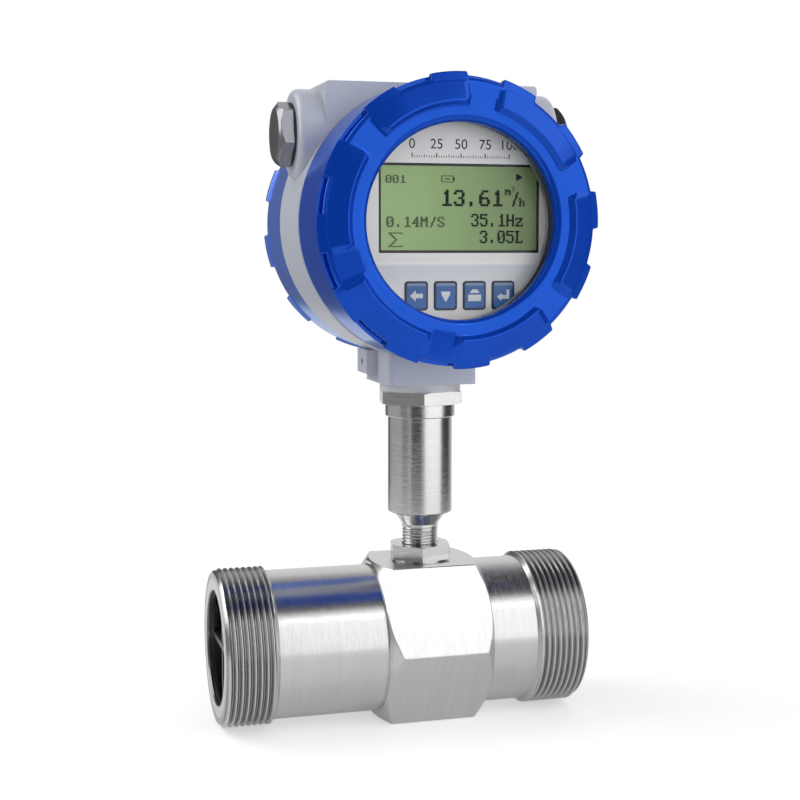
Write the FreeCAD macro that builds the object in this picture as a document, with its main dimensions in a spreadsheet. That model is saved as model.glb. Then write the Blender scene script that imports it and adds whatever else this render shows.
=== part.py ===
"""Turbine flow meter: a threaded flow tube with a bladed rotor, and a display head that swivels on a stem.

Millimetres and degrees. +X is the direction of flow, the display looks along -Y, and +Z is up.
The origin is the centre of the inlet face. Every round piece is drawn in a frame of its own whose X axis
is the piece's axis: along the tube, up the stem, or outwards from a face of the head's barrel.
"""
import FreeCAD, Part

import os
import re

import Sketcher

# Each size once: its name in the sheet, its value, and what it measures.
DIMENSIONS = [
    # flow tube
    ("run_length", 140, "face to face"),
    ("stem_station", 80.5, "inlet face to the stem's axis"),
    ("bore_radius", 20, "bore round the rotor"),
    ("seat_radius", 21.5, "counterbore for a flow straightener"),
    ("inlet_seat_depth", 50, "inlet face to the straightener's shoulder"),
    ("outlet_seat_depth", 36, "outlet face to the straightener's shoulder"),
    ("pipe_thread_radius", 29.8, "crest of the end threads"),
    ("inlet_thread_length", 18.5, ""),
    ("outlet_thread_length", 19.5, ""),
    ("neck_radius", 28.1, "tube between thread and block"),
    ("neck_runout", 1.2, "slope from thread to neck"),
    ("block_flats", 60, "across the flats of the hexagonal block"),
    ("block_start", 60.5, "inlet face to the block"),
    ("block_length", 41, ""),
    ("block_turn_radius", 29.4, "turned end face of the block"),
    ("block_turn_reach", 4.6, "length of the turned cone"),
    ("block_turn_outer", 35.2, "outer end of the turned cone"),
    # flow straighteners
    ("ring_setback", 1.4, "end face to the retaining ring's groove"),
    ("ring_groove_width", 1.3, ""),
    ("ring_groove_radius", 22.7, ""),
    ("ring_thickness", 1.2, ""),
    ("ring_inner_radius", 20.4, ""),
    ("ring_arc_angle", 330, "arc of the open retaining ring"),
    ("ring_play", 0.2, "retaining ring inside its groove"),
    ("vane_count", 4, ""),
    ("vane_thickness", 2, ""),
    ("hub_radius", 9, "hubs of straighteners and rotor"),
    ("nose_setback", 7, "end face to the tip of a hub's nose"),
    ("nose_length", 16, ""),
    ("nose_arc_radius", 19, "curve of the nose"),
    ("bearing_radius", 4, "outside of a shaft bearing"),
    ("bearing_length", 8, ""),
    ("pad_thickness", 1.6, "thrust pad behind a bearing"),
    ("thrust_play", 0.2, "shaft end to thrust pad"),
    ("shaft_play", 0.05, "shaft inside its bearings"),
    ("seat_gap", 0.02, "fixed piece in its seat"),
    # rotor
    ("rotor_length", 20, "hub of the rotor"),
    ("rotor_gap", 1.5, "rotor hub to straightener hub"),
    ("rotor_bevel", 1, ""),
    ("shaft_radius", 1.5, ""),
    ("blade_count", 8, ""),
    ("blade_length", 17, "along the axis"),
    ("blade_thickness", 1.6, ""),
    ("blade_tip_gap", 0.6, "tip to bore"),
    ("blade_root_depth", 1, "blade inside the hub"),
    ("blade_twist_angle", 48, "turn of a blade over its length"),
    # pickup and stem
    ("stem_engagement", 7, "pickup thread inside the block"),
    ("stem_hole_clearance", 0.5, "hole below the pickup's tip"),
    ("stem_thread_radius", 7, ""),
    ("stem_thread_length", 14, "thread above the block"),
    ("stem_cone_length", 4.5, ""),
    ("stem_cone_radius", 10, "top of the cone"),
    ("stem_shoulder", 0.6, "bevel from cone to barrel"),
    ("stem_radius", 12.35, ""),
    ("stem_barrel_length", 37.5, ""),
    ("collar_radius", 13.4, "ring at the top of the stem"),
    ("collar_length", 5, ""),
    ("swivel_radius", 10, "threaded top that carries the head"),
    ("swivel_length", 21, ""),
    ("swivel_bore_radius", 8, "way for the wires"),
    ("stem_bore_radius", 10.6, "space for the amplifier"),
    ("stem_floor", 2, "cone top to the floor of that space"),
    ("pickup_bore_radius", 5.2, "blind bore for the coil"),
    ("pickup_floor", 1.5, "metal below the coil"),
    ("coil_gap", 0.1, "coil inside its bore"),
    ("coil_length", 16, ""),
    ("core_radius", 1.5, ""),
    ("magnet_length", 4, ""),
    ("amplifier_length", 28, ""),
    ("amplifier_width", 18, ""),
    ("board_thickness", 1.6, "every circuit board"),
    ("lock_washer_thickness", 0.6, ""),
    ("lock_washer_radius", 10.4, ""),
    ("lock_nut_flats", 22, ""),
    ("lock_nut_height", 5.6, ""),
    ("head_nut_flats", 30, ""),
    ("head_nut_height", 5, ""),
    ("nut_turn_inset", 0.4, "turned face inside a nut's flats"),
    ("nut_turn_reach", 1.3, "length of a nut's turned cone"),
    ("nut_turn_outer", 2, "how far outside the flats that cone runs"),
    ("nut_angle", 49, "turn of the nuts from square"),
    ("neck_seal_radius", 15.5, ""),
    ("neck_seal_thickness", 3.05, ""),
    ("swivel_play", 0.05, "head on its swivel"),
    # housing
    ("barrel_radius", 51.1, ""),
    ("barrel_width", 34, "between the two cover seats"),
    ("barrel_bevel", 0.8, ""),
    ("cover_thread_radius", 45, "threads for the covers"),
    ("cover_thread_depth", 10, ""),
    ("web_screw_land", 2.2, "web's opening to the screws' circle"),
    ("neck_drop", 60.2, "barrel axis to the underside of the neck"),
    ("neck_width", 34.6, "along X"),
    ("neck_corner", 2.2, ""),
    ("neck_overlap", 28, "height of the neck block"),
    ("socket_depth", 14, "swivel socket in the neck"),
    ("wire_radius", 5.5, "wire way above the socket"),
    ("saddle_width", 81, "block between the conduit bosses"),
    ("saddle_rise", 50.9, "barrel axis to its top"),
    ("saddle_inset", 0.5, "barrel's end to the saddle's face"),
    ("saddle_corner", 1.5, ""),
    ("conduit_rise", 32.5, "barrel axis to the conduit axis"),
    ("boss_radius", 16.6, ""),
    ("boss_stand", 3.37, "end of a boss beyond the barrel, level with the lower edge of its seal"),
    ("boss_round", 2.5, ""),
    ("conduit_radius", 10, ""),
    ("conduit_depth", 12, ""),
    ("conduit_way_radius", 6, "drilling from the conduit to the web"),
    ("lug_reach", 4.2, "side lug beyond the neck"),
    ("lug_rise", 3.4, "neck's underside to the side lug"),
    ("lug_height", 9, ""),
    ("lug_length", 14, ""),
    ("lug_shift", 6, "middle of the side lug behind the stem axis"),
    ("lug_screw_radius", 1.3, ""),
    ("lug_screw_length", 5, ""),
    ("lug_screw_inset", 1, ""),
    # blanking plugs
    ("plug_flats", 21.5, ""),
    ("plug_head_length", 5.5, ""),
    ("plug_turn_inset", 1.2, ""),
    ("plug_turn_reach", 2.4, ""),
    ("plug_seal_radius", 11.6, ""),
    ("plug_seal_thickness", 0.8, ""),
    ("plug_thread_length", 11, ""),
    ("plug_angle", 42, "turn of the plugs' heads"),
    # covers
    ("skirt_setback", 0.3, "barrel's rim to the cover behind its lugs"),
    ("crown_stand", 0.5, "tips of a cover's lugs beyond the barrel's rim"),
    ("front_skirt_length", 33, "housing to the front cover's rim"),
    ("rear_skirt_length", 31, "housing to the rear cover's rim"),
    ("rim_bevel_width", 3.3, ""),
    ("rim_bevel_rise", 1.5, ""),
    ("face_rise", 1.5, "from the bevel to the lip"),
    ("lip_width", 4.2, "window's lip"),
    ("lip_arc_radius", 4.6, "rounding of the lip"),
    ("lip_edge_drop", 2, "lip to the window's edge"),
    ("window_radius", 34.2, ""),
    ("notch_count", 12, ""),
    ("notch_angle", 15, ""),
    ("notch_depth", 2.3, "tip of a lug to the floor of a notch"),
    ("notch_length", 3.6, "notch behind the rim"),
    ("notch_ramp", 0.8, "slope behind a lug"),
    ("notch_start_angle", 20, "first notch from the horizontal"),
    ("rear_turn_angle", 13, "how much further the rear cover is screwed"),
    ("block_count", 6, "raised grips on a cover's face"),
    ("block_angle", 45, ""),
    ("grip_start_angle", 50, "middle of the first grip"),
    ("grip_slope_width", 5.9, "rim's bevel to the ridge of a grip"),
    ("grip_ridge_rise", 3.4, "ridge beyond the rim's bevel"),
    ("grip_wall_width", 3, "ridge of a grip to its inner foot"),
    ("grip_root", 1.5, "grip inside the cover"),
    ("spigot_length", 9, "cover thread inside the housing"),
    ("spigot_play", 0.1, "cover thread in the housing's thread"),
    ("spigot_wall", 4, "cover's bore to the housing's thread"),
    ("seal_groove_start", 1.1, ""),
    ("seal_groove_width", 2.3, ""),
    ("seal_groove_depth", 2.1, ""),
    ("seal_play", 0.22, "seal inside its groove"),
    ("glass_setback", 0.5, "rim to the glass seat"),
    ("glass_pocket_step", 2, "cover's bore to the glass pocket"),
    ("glass_thickness", 4, ""),
    ("glass_seal_thickness", 1, ""),
    ("glass_seal_setback", 1.4, "window's edge to the seal"),
    ("clamp_thickness", 2.2, "ring that holds the glass"),
    ("clamp_setback", 0.4, "window's edge to that ring"),
    ("pocket_gap", 0.1, "glass and rings in their pocket"),
    ("blind_wall", 4, "rear cover's face"),
    ("dish_radius", 36, "dished middle of the rear cover"),
    ("dish_depth", 2, ""),
    # display
    ("faceplate_reach", 24.5, "housing's edge to the front of the faceplate"),
    ("faceplate_gap", 1.2, "faceplate inside the cover"),
    ("faceplate_thickness", 1.5, ""),
    ("faceplate_wall", 0.8, "its skirt"),
    ("board_reach", 20.6, "housing's edge to the front of the display board"),
    ("board_gap", 0.4, "display board inside the faceplate's skirt"),
    ("screen_width", 59.4, ""),
    ("screen_height", 31, ""),
    ("screen_rise", 4.8, "barrel axis to the middle of the screen"),
    ("display_shift", 2.5, "stem axis to the middle of the screen and keys"),
    ("screen_margin", 0.6, "screen's plate beyond its window"),
    ("screen_inset", 0.5, "screen behind the faceplate"),
    ("slot_gap", 0.2, "screen and keys in their openings"),
    ("key_width", 8.3, ""),
    ("key_height", 10, ""),
    ("key_corner", 1, ""),
    ("key_spacing", 10.8, ""),
    ("key_drop", 26, "barrel axis to the middle of the keys"),
    ("key_proud", 0.4, "key in front of the faceplate"),
    ("key_flange", 0.5, "flange beyond the key"),
    ("key_flange_thickness", 0.8, ""),
    ("key_backlash", 0.1, "flange behind the faceplate"),
    ("switch_side", 5, ""),
    ("switch_height", 0.8, ""),
    ("frame_screw_gap", 3.2, "drum of the display frame to the screws' circle"),
    ("frame_wall", 2.5, ""),
    ("flange_gap", 0.6, "flange of the display frame inside the cover"),
    ("frame_flange", 2.5, ""),
    ("frame_wire_radius", 12, "wire opening in the frame's floor"),
    ("small_screw_radius", 1, ""),
    ("small_head_radius", 1.8, ""),
    ("small_head_height", 1.2, ""),
    ("small_screw_depth", 6, ""),
    ("board_screw_inset", 1.4, "drum's outside to the board's screws"),
    ("upper_screw_angle", 60, ""),
    ("lower_screw_angle", 35, ""),
    ("web_screw_edge", 2.2, "web's screws to the edge of the flange"),
    ("web_screw_angle", 30, ""),
    # terminals and battery
    ("terminal_width", 44, ""),
    ("terminal_height", 15, ""),
    ("terminal_depth", 13, ""),
    ("terminal_drop", 18, "barrel axis to the terminal block"),
    ("terminal_spacing", 8, ""),
    ("terminal_count", 5, ""),
    ("terminal_screw_radius", 2.6, ""),
    ("terminal_screw_inset", 2, ""),
    ("terminal_screw_length", 3, ""),
    ("terminal_entry_side", 4.6, "wire entry"),
    ("terminal_entry_depth", 9, ""),
    ("terminal_entry_reach", 4, "board to the wire entries"),
    ("battery_radius", 13, ""),
    ("battery_length", 50, ""),
    ("battery_rise", 14, "barrel axis to the battery"),
    ("battery_gap", 0.1, "battery in its cradle"),
    ("cradle_floor", 1.5, ""),
    ("cradle_wall", 3, ""),
    ("cradle_width", 24, ""),
    ("cradle_depth", 9, ""),
]

NAMES = {name for name, _, _ in DIMENSIONS}

ALONG_FLOW = FreeCAD.Rotation()
AGAINST_FLOW = FreeCAD.Rotation(FreeCAD.Vector(0, 0, 1), 180)
UPWARDS = FreeCAD.Rotation(FreeCAD.Vector(0, 1, 0), -90)
FORWARDS = FreeCAD.Rotation(FreeCAD.Vector(0, 0, 1), -90)
BACKWARDS = FreeCAD.Rotation(FreeCAD.Vector(0, 0, 1), 90)

# Heights and stations that several pieces share, worked out from the sizes.
BLOCK_TOP = "block_flats / 2"
STEM_SHOULDER = "(stem_thread_length + stem_cone_length)"
COLLAR_START = f"({STEM_SHOULDER} + stem_barrel_length)"
STEM_TOP = f"({COLLAR_START} + collar_length)"
HEAD_SEAT = f"({STEM_TOP} + head_nut_height + neck_seal_thickness + swivel_play)"
HEAD_AXIS = f"({BLOCK_TOP} + {HEAD_SEAT} + neck_drop)"
CONDUIT_AXIS = f"({HEAD_AXIS} + conduit_rise)"
BOSS_REACH = "(sqrt(barrel_radius ^ 2 - (conduit_rise - plug_seal_radius) ^ 2) + boss_stand)"
SKIRT_RADIUS = "(barrel_radius - skirt_setback)"
CROWN_RADIUS = "(barrel_radius + crown_stand)"
BEVEL_RADIUS = f"({CROWN_RADIUS} - rim_bevel_width)"
RIDGE_RADIUS = f"({BEVEL_RADIUS} - grip_slope_width)"
GRIP_FOOT = f"({RIDGE_RADIUS} - grip_wall_width)"
NOTCH_FLOOR = f"({CROWN_RADIUS} - notch_depth)"
LIP_RADIUS = "(window_radius + lip_width)"
COVER_BORE = "(cover_thread_radius - spigot_wall)"
SEAL_FLOOR = "(cover_thread_radius - spigot_play - seal_groove_depth)"
GLASS_POCKET = f"({COVER_BORE} - glass_pocket_step)"
FLANGE_RADIUS = f"({COVER_BORE} - flange_gap)"
WEB_CIRCLE = f"({FLANGE_RADIUS} - web_screw_edge)"
WEB_OPENING = f"({WEB_CIRCLE} - web_screw_land)"
DRUM_RADIUS = f"({WEB_CIRCLE} - frame_screw_gap)"
BOARD_CIRCLE = f"({DRUM_RADIUS} - board_screw_inset)"
FACEPLATE_RADIUS = f"({COVER_BORE} - faceplate_gap)"
WEB_FACE = "(0 - cover_thread_depth)"
HUB_TO_ROTOR = "(rotor_length / 2 + rotor_gap)"

# A frame is where a piece's own origin lies and which way its X axis looks.
TUBE = ("0", "0", "0", ALONG_FLOW)
OUTLET = ("run_length", "0", "0", AGAINST_FLOW)
ROTOR = ("stem_station", "0", "0", ALONG_FLOW)
STEM = ("stem_station", "0", BLOCK_TOP, UPWARDS)
BARREL = ("stem_station", "0", HEAD_AXIS, ALONG_FLOW)
FRONT = ("stem_station", "0 - barrel_width / 2", HEAD_AXIS, FORWARDS)
REAR = ("stem_station", "barrel_width / 2", HEAD_AXIS, BACKWARDS)
LEFT_BOSS = (f"stem_station - {BOSS_REACH}", "0", CONDUIT_AXIS, AGAINST_FLOW)
RIGHT_BOSS = (f"stem_station + {BOSS_REACH}", "0", CONDUIT_AXIS, ALONG_FLOW)

doc = FreeCAD.newDocument("TurbineFlowMeter")
sheet = doc.addObject("Spreadsheet::Sheet", "Sizes")
pieces = []


# ---------------------------------------------------------------- sheet and drawing helpers

def fill_sheet():
    """Put every size into the sheet, with its name beside it and as its alias."""
    for row, (name, value, meaning) in enumerate(DIMENSIONS, start=1):
        sheet.set(f"A{row}", name)
        sheet.set(f"B{row}", str(value))
        sheet.set(f"C{row}", meaning)
        sheet.setAlias(f"B{row}", name)
    doc.recompute()


def cell(expression):
    """The expression with each size's name turned into a reference to its cell."""
    return re.sub(r"[a-z_]+", lambda word: "Sizes." + word[0] if word[0] in NAMES else word[0], expression)


def number(expression):
    """What an expression on the sizes comes to now."""
    return float(sheet.evalExpression(cell(expression)))


def bind(target, prop, expression):
    """Tie a property to the sizes."""
    target.setExpression(prop, cell(expression))


def place(piece, frame):
    """Tie a piece's placement to a frame, and count it among the sub-parts."""
    x, y, z, turn = frame
    piece.Placement = FreeCAD.Placement(FreeCAD.Vector(number(x), number(y), number(z)), turn)
    for axis, expression in zip("xyz", (x, y, z)):
        bind(piece, f"Placement.Base.{axis}", expression)
    pieces.append(piece)


def new_body(label, frame):
    """An empty body in its frame."""
    body = doc.addObject("PartDesign::Body", label)
    body.Label = label
    place(body, frame)
    return body


def origin_feature(body, role):
    """One of the body's own planes or axes."""
    return next(feature for feature in body.Origin.OriginFeatures if feature.Role == role)


def new_sketch(body, plane, name, lift="0", roll=None):
    """A sketch on one of the body's planes, lifted off it, or rolled about the sketch's own X axis."""
    sketch = body.newObject("Sketcher::SketchObject", name)
    sketch.AttachmentSupport = [(origin_feature(body, plane), "")]
    sketch.MapMode = "FlatFace"
    if roll is not None:
        turn = FreeCAD.Rotation(FreeCAD.Vector(1, 0, 0), number(roll))
        sketch.AttachmentOffset = FreeCAD.Placement(FreeCAD.Vector(), turn)
        bind(sketch, "AttachmentOffset.Rotation.Angle", roll)
    bind(sketch, "AttachmentOffset.Base.z", lift)
    return sketch


def pin_point(sketch, edge, end, u, v):
    """Hold one point of an edge at (u, v) from the sketch's origin."""
    for kind, expression in (("DistanceX", u), ("DistanceY", v)):
        index = sketch.addConstraint(Sketcher.Constraint(kind, -1, 1, edge, end, number(expression)))
        bind(sketch, f"Constraints[{index}]", expression)


def arc_between(start, end, radius):
    """The short arc of a signed radius from start to end: positive turns left, negative turns right."""
    chord = end - start
    middle = (start + end) * 0.5
    rise = max(radius ** 2 - (chord.Length / 2) ** 2, 0) ** 0.5
    side = FreeCAD.Vector(-chord.y, chord.x, 0).normalize()
    centre = middle + side * (rise if radius > 0 else -rise)
    circle = Part.Circle(centre, FreeCAD.Vector(0, 0, 1), abs(radius))
    first, last = (start, end) if radius > 0 else (end, start)
    return Part.ArcOfCircle(circle, circle.parameter(first), circle.parameter(last))


def outline(sketch, points):
    """A closed loop through (u, v) points. A third entry bends the edge after a point to that radius."""
    spots = [FreeCAD.Vector(number(point[0]), number(point[1]), 0) for point in points]
    ends = []
    for index, point in enumerate(points):
        start, end = spots[index], spots[(index + 1) % len(points)]
        if len(point) == 2:
            edge = sketch.addGeometry(Part.LineSegment(start, end))
            ends.append((edge, 1, 2))
        else:
            edge = sketch.addGeometry(arc_between(start, end, number(point[2])))
            ends.append((edge, 1, 2) if number(point[2]) > 0 else (edge, 2, 1))
    for index, (edge, _, tail) in enumerate(ends):
        following, head, _ = ends[(index + 1) % len(ends)]
        sketch.addConstraint(Sketcher.Constraint("Coincident", edge, tail, following, head))
    for (edge, head, _), point in zip(ends, points):
        pin_point(sketch, edge, head, point[0], point[1])
        if len(point) == 3:
            radius = sketch.addConstraint(Sketcher.Constraint("Radius", edge, abs(number(point[2]))))
            bind(sketch, f"Constraints[{radius}]", f"abs({point[2]})")


def circle(sketch, u, v, radius):
    """A circle of that radius about (u, v)."""
    centre = FreeCAD.Vector(number(u), number(v), 0)
    edge = sketch.addGeometry(Part.Circle(centre, FreeCAD.Vector(0, 0, 1), number(radius)))
    index = sketch.addConstraint(Sketcher.Constraint("Radius", edge, number(radius)))
    bind(sketch, f"Constraints[{index}]", radius)
    pin_point(sketch, edge, 3, u, v)


def box_points(u, v, width, height):
    """Corners of a rectangle about (u, v)."""
    left, right = f"{u} - ({width}) / 2", f"{u} + ({width}) / 2"
    low, high = f"{v} - ({height}) / 2", f"{v} + ({height}) / 2"
    return [(left, low), (right, low), (right, high), (left, high)]


def rounded_box_points(u, v, width, height, corner):
    """A rectangle about (u, v) whose corners are rounded."""
    left, right = f"{u} - ({width}) / 2", f"{u} + ({width}) / 2"
    low, high = f"{v} - ({height}) / 2", f"{v} + ({height}) / 2"
    return [
        (f"{left} + {corner}", low), (f"{right} - {corner}", low, corner),
        (right, f"{low} + {corner}"), (right, f"{high} - {corner}", corner),
        (f"{right} - {corner}", high), (f"{left} + {corner}", high, corner),
        (left, f"{high} - {corner}"), (left, f"{low} + {corner}", corner),
    ]


def hexagon_points(flats, clocking="0"):
    """A hexagon of that size across its flats, with its first corner turned from the sketch's X axis."""
    corner = f"({flats}) / sqrt(3)"
    return [(f"{corner} * cos({60 * turn} + {clocking})", f"{corner} * sin({60 * turn} + {clocking})")
            for turn in range(6)]


def turned(body, points, name, cut=False, sweep=None, roll=None):
    """Turn an outline of (along, radius) points about the body's X axis, or cut that shape away."""
    sketch = new_sketch(body, "XY_Plane", name + "_outline", roll=roll)
    outline(sketch, points)
    kind = "PartDesign::Groove" if cut else "PartDesign::Revolution"
    feature = body.newObject(kind, name)
    feature.Profile = (sketch, [""])
    feature.ReferenceAxis = (sketch, ["H_Axis"])
    if sweep is not None:
        feature.Midplane = True
        bind(feature, "Angle", sweep)
    return feature


def pad(body, sketch, length, name, both_ways=False):
    """Extrude a sketch along its normal."""
    feature = body.newObject("PartDesign::Pad", name)
    feature.Profile = (sketch, [""])
    bind(feature, "Length", length)
    if both_ways:
        feature.SideType = "Symmetric"
    return feature


def pocket(body, sketch, length, name, forwards=False):
    """Cut a sketch into the body against its normal, or along it where forwards is true."""
    feature = body.newObject("PartDesign::Pocket", name)
    feature.Profile = (sketch, [""])
    feature.Reversed = forwards
    bind(feature, "Length", length)
    return feature


def repeat_round(body, feature, count, name):
    """Repeat a feature evenly about the body's X axis."""
    pattern = body.newObject("PartDesign::PolarPattern", name)
    pattern.Originals = [feature]
    pattern.Axis = (origin_feature(body, "X_Axis"), [""])
    pattern.Angle = 360
    bind(pattern, "Occurrences", count)
    body.Tip = pattern
    return pattern


def rectangle_ring(start, length, inner, outer):
    """Outline of a plain ring."""
    return [(start, inner), (f"{start} + {length}", inner), (f"{start} + {length}", outer), (start, outer)]


def ring(label, frame, start, length, inner, outer):
    """A plain ring: washer, seal, sleeve or disc."""
    body = new_body(label, frame)
    turned(body, rectangle_ring(start, length, inner, outer), label + "_ring")
    return body


def hexagon_turning(start, direction, flats, inset, reach, outer):
    """Outline of the cone that a lathe cuts from one end of a hexagon."""
    return [(start, f"{flats} / 2 - {inset}"),
            (f"{start} + {direction} * {reach}", f"{flats} / 2 + {outer}"),
            (start, f"{flats} / 2 + {outer}")]


# ---------------------------------------------------------------- flow tube and what it holds

def build_meter_body():
    """Hexagonal block on a tube with two threaded ends, bored for the straighteners and the rotor."""
    body = new_body("meter_body", TUBE)
    outlet_thread = "run_length - outlet_thread_length"
    turned(body, [
        ("0", "0"), ("0", "pipe_thread_radius"), ("inlet_thread_length", "pipe_thread_radius"),
        ("inlet_thread_length + neck_runout", "neck_radius"),
        (f"{outlet_thread} - neck_runout", "neck_radius"),
        (outlet_thread, "pipe_thread_radius"), ("run_length", "pipe_thread_radius"), ("run_length", "0"),
    ], "tube")
    block = new_sketch(body, "YZ_Plane", "block_outline", lift="block_start")
    outline(block, hexagon_points("block_flats"))
    pad(body, block, "block_length", "block")
    block_end = "block_start + block_length"
    for name, end, direction in (("inlet", "block_start", "1"), ("outlet", block_end, "-1")):
        turned(body, [
            (end, "block_turn_radius"),
            (f"{end} + {direction} * block_turn_reach", "block_turn_outer"),
            (end, "block_turn_outer"),
        ], f"block_{name}_turning", cut=True)
    groove_end = "(ring_setback + ring_groove_width)"
    outlet_shoulder = "run_length - outlet_seat_depth"
    turned(body, [
        ("0", "0"), ("0", "seat_radius"),
        ("ring_setback", "seat_radius"), ("ring_setback", "ring_groove_radius"),
        (groove_end, "ring_groove_radius"), (groove_end, "seat_radius"),
        ("inlet_seat_depth", "seat_radius"), ("inlet_seat_depth", "bore_radius"),
        (outlet_shoulder, "bore_radius"), (outlet_shoulder, "seat_radius"),
        (f"run_length - {groove_end}", "seat_radius"), (f"run_length - {groove_end}", "ring_groove_radius"),
        ("run_length - ring_setback", "ring_groove_radius"), ("run_length - ring_setback", "seat_radius"),
        ("run_length", "seat_radius"), ("run_length", "0"),
    ], "bores", cut=True)
    hole = new_sketch(body, "XY_Plane", "pickup_hole_outline", lift=BLOCK_TOP)
    circle(hole, "stem_station", "0", "stem_thread_radius + seat_gap")
    pocket(body, hole, "stem_engagement + stem_hole_clearance", "pickup_hole")


def build_straightener(label, frame, seat_depth, hub_end):
    """Hub with a rounded nose, carried by vanes that stand against the shoulder of the counterbore."""
    body = new_body(label, frame)
    nose_end = "(nose_setback + nose_length)"
    bearing_bottom = f"({hub_end} - bearing_length - pad_thickness)"
    turned(body, [
        ("nose_setback", "0", "0 - nose_arc_radius"), (nose_end, "hub_radius"),
        (hub_end, "hub_radius"), (hub_end, "bearing_radius + seat_gap"),
        (bearing_bottom, "bearing_radius + seat_gap"), (bearing_bottom, "0"),
    ], label + "_hub")
    vane_start = "(ring_setback + ring_groove_width)"
    outer = "(seat_radius - seat_gap)"
    tip = f"sqrt({outer} ^ 2 - vane_thickness ^ 2 / 4)"
    root = "(bearing_radius + vane_thickness)"
    half = "vane_thickness / 2"
    vane = new_sketch(body, "YZ_Plane", label + "_vane_outline", lift=vane_start)
    outline(vane, [(root, f"0 - {half}"), (tip, f"0 - {half}", outer), (tip, half), (root, half)])
    vane_pad = pad(body, vane, f"{seat_depth} - seat_gap - {vane_start}", label + "_vane")
    repeat_round(body, vane_pad, "vane_count", label + "_vanes")
    middle = new_sketch(body, "YZ_Plane", label + "_cross_outline", lift=vane_start)
    outline(middle, box_points("0", "0", f"2 * {root}", "vane_thickness"))
    cross = pad(body, middle, "nose_setback + nose_length / 2 - " + vane_start, label + "_cross_bar")
    repeat_round(body, cross, "vane_count", label + "_cross")


def build_retaining_ring(label, frame):
    """Open spring ring in the groove in front of a straightener."""
    body = new_body(label, frame)
    turned(body, rectangle_ring("ring_setback + (ring_groove_width - ring_thickness)", "ring_thickness",
                                "ring_inner_radius", "ring_groove_radius - ring_play"),
           label + "_arc", sweep="ring_arc_angle")


def build_rotor():
    """Hub with helical blades: each blade is lofted through sections that turn as they go along."""
    body = new_body("turbine_rotor", ROTOR)
    half = "rotor_length / 2"
    turned(body, [
        (f"0 - {half}", "shaft_radius + seat_gap"), (f"0 - {half}", "hub_radius - rotor_bevel"),
        (f"0 - {half} + rotor_bevel", "hub_radius"), (f"{half} - rotor_bevel", "hub_radius"),
        (half, "hub_radius - rotor_bevel"), (half, "shaft_radius + seat_gap"),
    ], "rotor_hub")
    stations = 4
    sections = []
    for station in range(stations):
        share = f"({station} / {stations - 1} - 0.5)"
        section = new_sketch(body, "YZ_Plane", f"blade_section_{station}", lift=f"{share} * blade_length")
        turn = FreeCAD.Rotation(FreeCAD.Vector(0, 0, 1), number(f"{share} * blade_twist_angle"))
        section.AttachmentOffset = FreeCAD.Placement(section.AttachmentOffset.Base, turn)
        sign = "" if station >= stations / 2 else "0 - "
        angle = f"{sign}{share} * blade_twist_angle"
        bind(section, "AttachmentOffset.Rotation.Angle", angle)
        outline(section, [
            ("0 - blade_thickness / 2", "hub_radius - blade_root_depth"),
            ("blade_thickness / 2", "hub_radius - blade_root_depth"),
            ("blade_thickness / 2", "bore_radius - blade_tip_gap"),
            ("0 - blade_thickness / 2", "bore_radius - blade_tip_gap"),
        ])
        sections.append(section)
    blade = body.newObject("PartDesign::AdditiveLoft", "blade")
    blade.Profile = (sections[0], [""])
    blade.Sections = [(section, [""]) for section in sections[1:]]
    repeat_round(body, blade, "blade_count", "blades")


def build_shaft():
    """Shaft through the rotor into both bearings."""
    reach = f"({HUB_TO_ROTOR} + bearing_length - thrust_play)"
    body = new_body("rotor_shaft", ROTOR)
    turned(body, rectangle_ring(f"0 - {reach}", f"2 * {reach}", "0", "shaft_radius"), "shaft")


def build_flow_pieces():
    """Everything inside the bore."""
    ends = {
        "inlet": (TUBE, "inlet_seat_depth", f"(stem_station - {HUB_TO_ROTOR})"),
        "outlet": (OUTLET, "outlet_seat_depth", f"(run_length - stem_station - {HUB_TO_ROTOR})"),
    }
    for end, (frame, seat_depth, hub_end) in ends.items():
        build_straightener(f"{end}_straightener", frame, seat_depth, hub_end)
        build_retaining_ring(f"{end}_retaining_ring", frame)
        ring(f"{end}_bearing", frame, f"{hub_end} - bearing_length", "bearing_length",
             "shaft_radius + shaft_play", "bearing_radius")
        ring(f"{end}_thrust_pad", frame, f"{hub_end} - bearing_length - pad_thickness", "pad_thickness",
             "0", "bearing_radius")
    build_rotor()
    build_shaft()


# ---------------------------------------------------------------- pickup and stem

def build_stem():
    """Threaded pickup tip, cone, barrel, collar and the threaded top that carries the head."""
    body = new_body("pickup_stem", STEM)
    tip = "(0 - stem_engagement)"
    floor = f"({STEM_SHOULDER} + stem_floor)"
    top = f"({STEM_TOP} + swivel_length)"
    turned(body, [
        (tip, "0"), (tip, "stem_thread_radius"), ("stem_thread_length", "stem_thread_radius"),
        (STEM_SHOULDER, "stem_cone_radius"), (STEM_SHOULDER, "stem_radius - stem_shoulder"),
        (f"{STEM_SHOULDER} + stem_shoulder", "stem_radius"),
        (COLLAR_START, "stem_radius"), (COLLAR_START, "collar_radius"),
        (STEM_TOP, "collar_radius"), (STEM_TOP, "swivel_radius"), (top, "swivel_radius"),
        (top, "swivel_bore_radius"), (COLLAR_START, "swivel_bore_radius"),
        (COLLAR_START, "stem_bore_radius"), (floor, "stem_bore_radius"),
        (floor, "pickup_bore_radius"), (f"{tip} + pickup_floor", "pickup_bore_radius"),
        (f"{tip} + pickup_floor", "0"),
    ], "stem")


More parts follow.
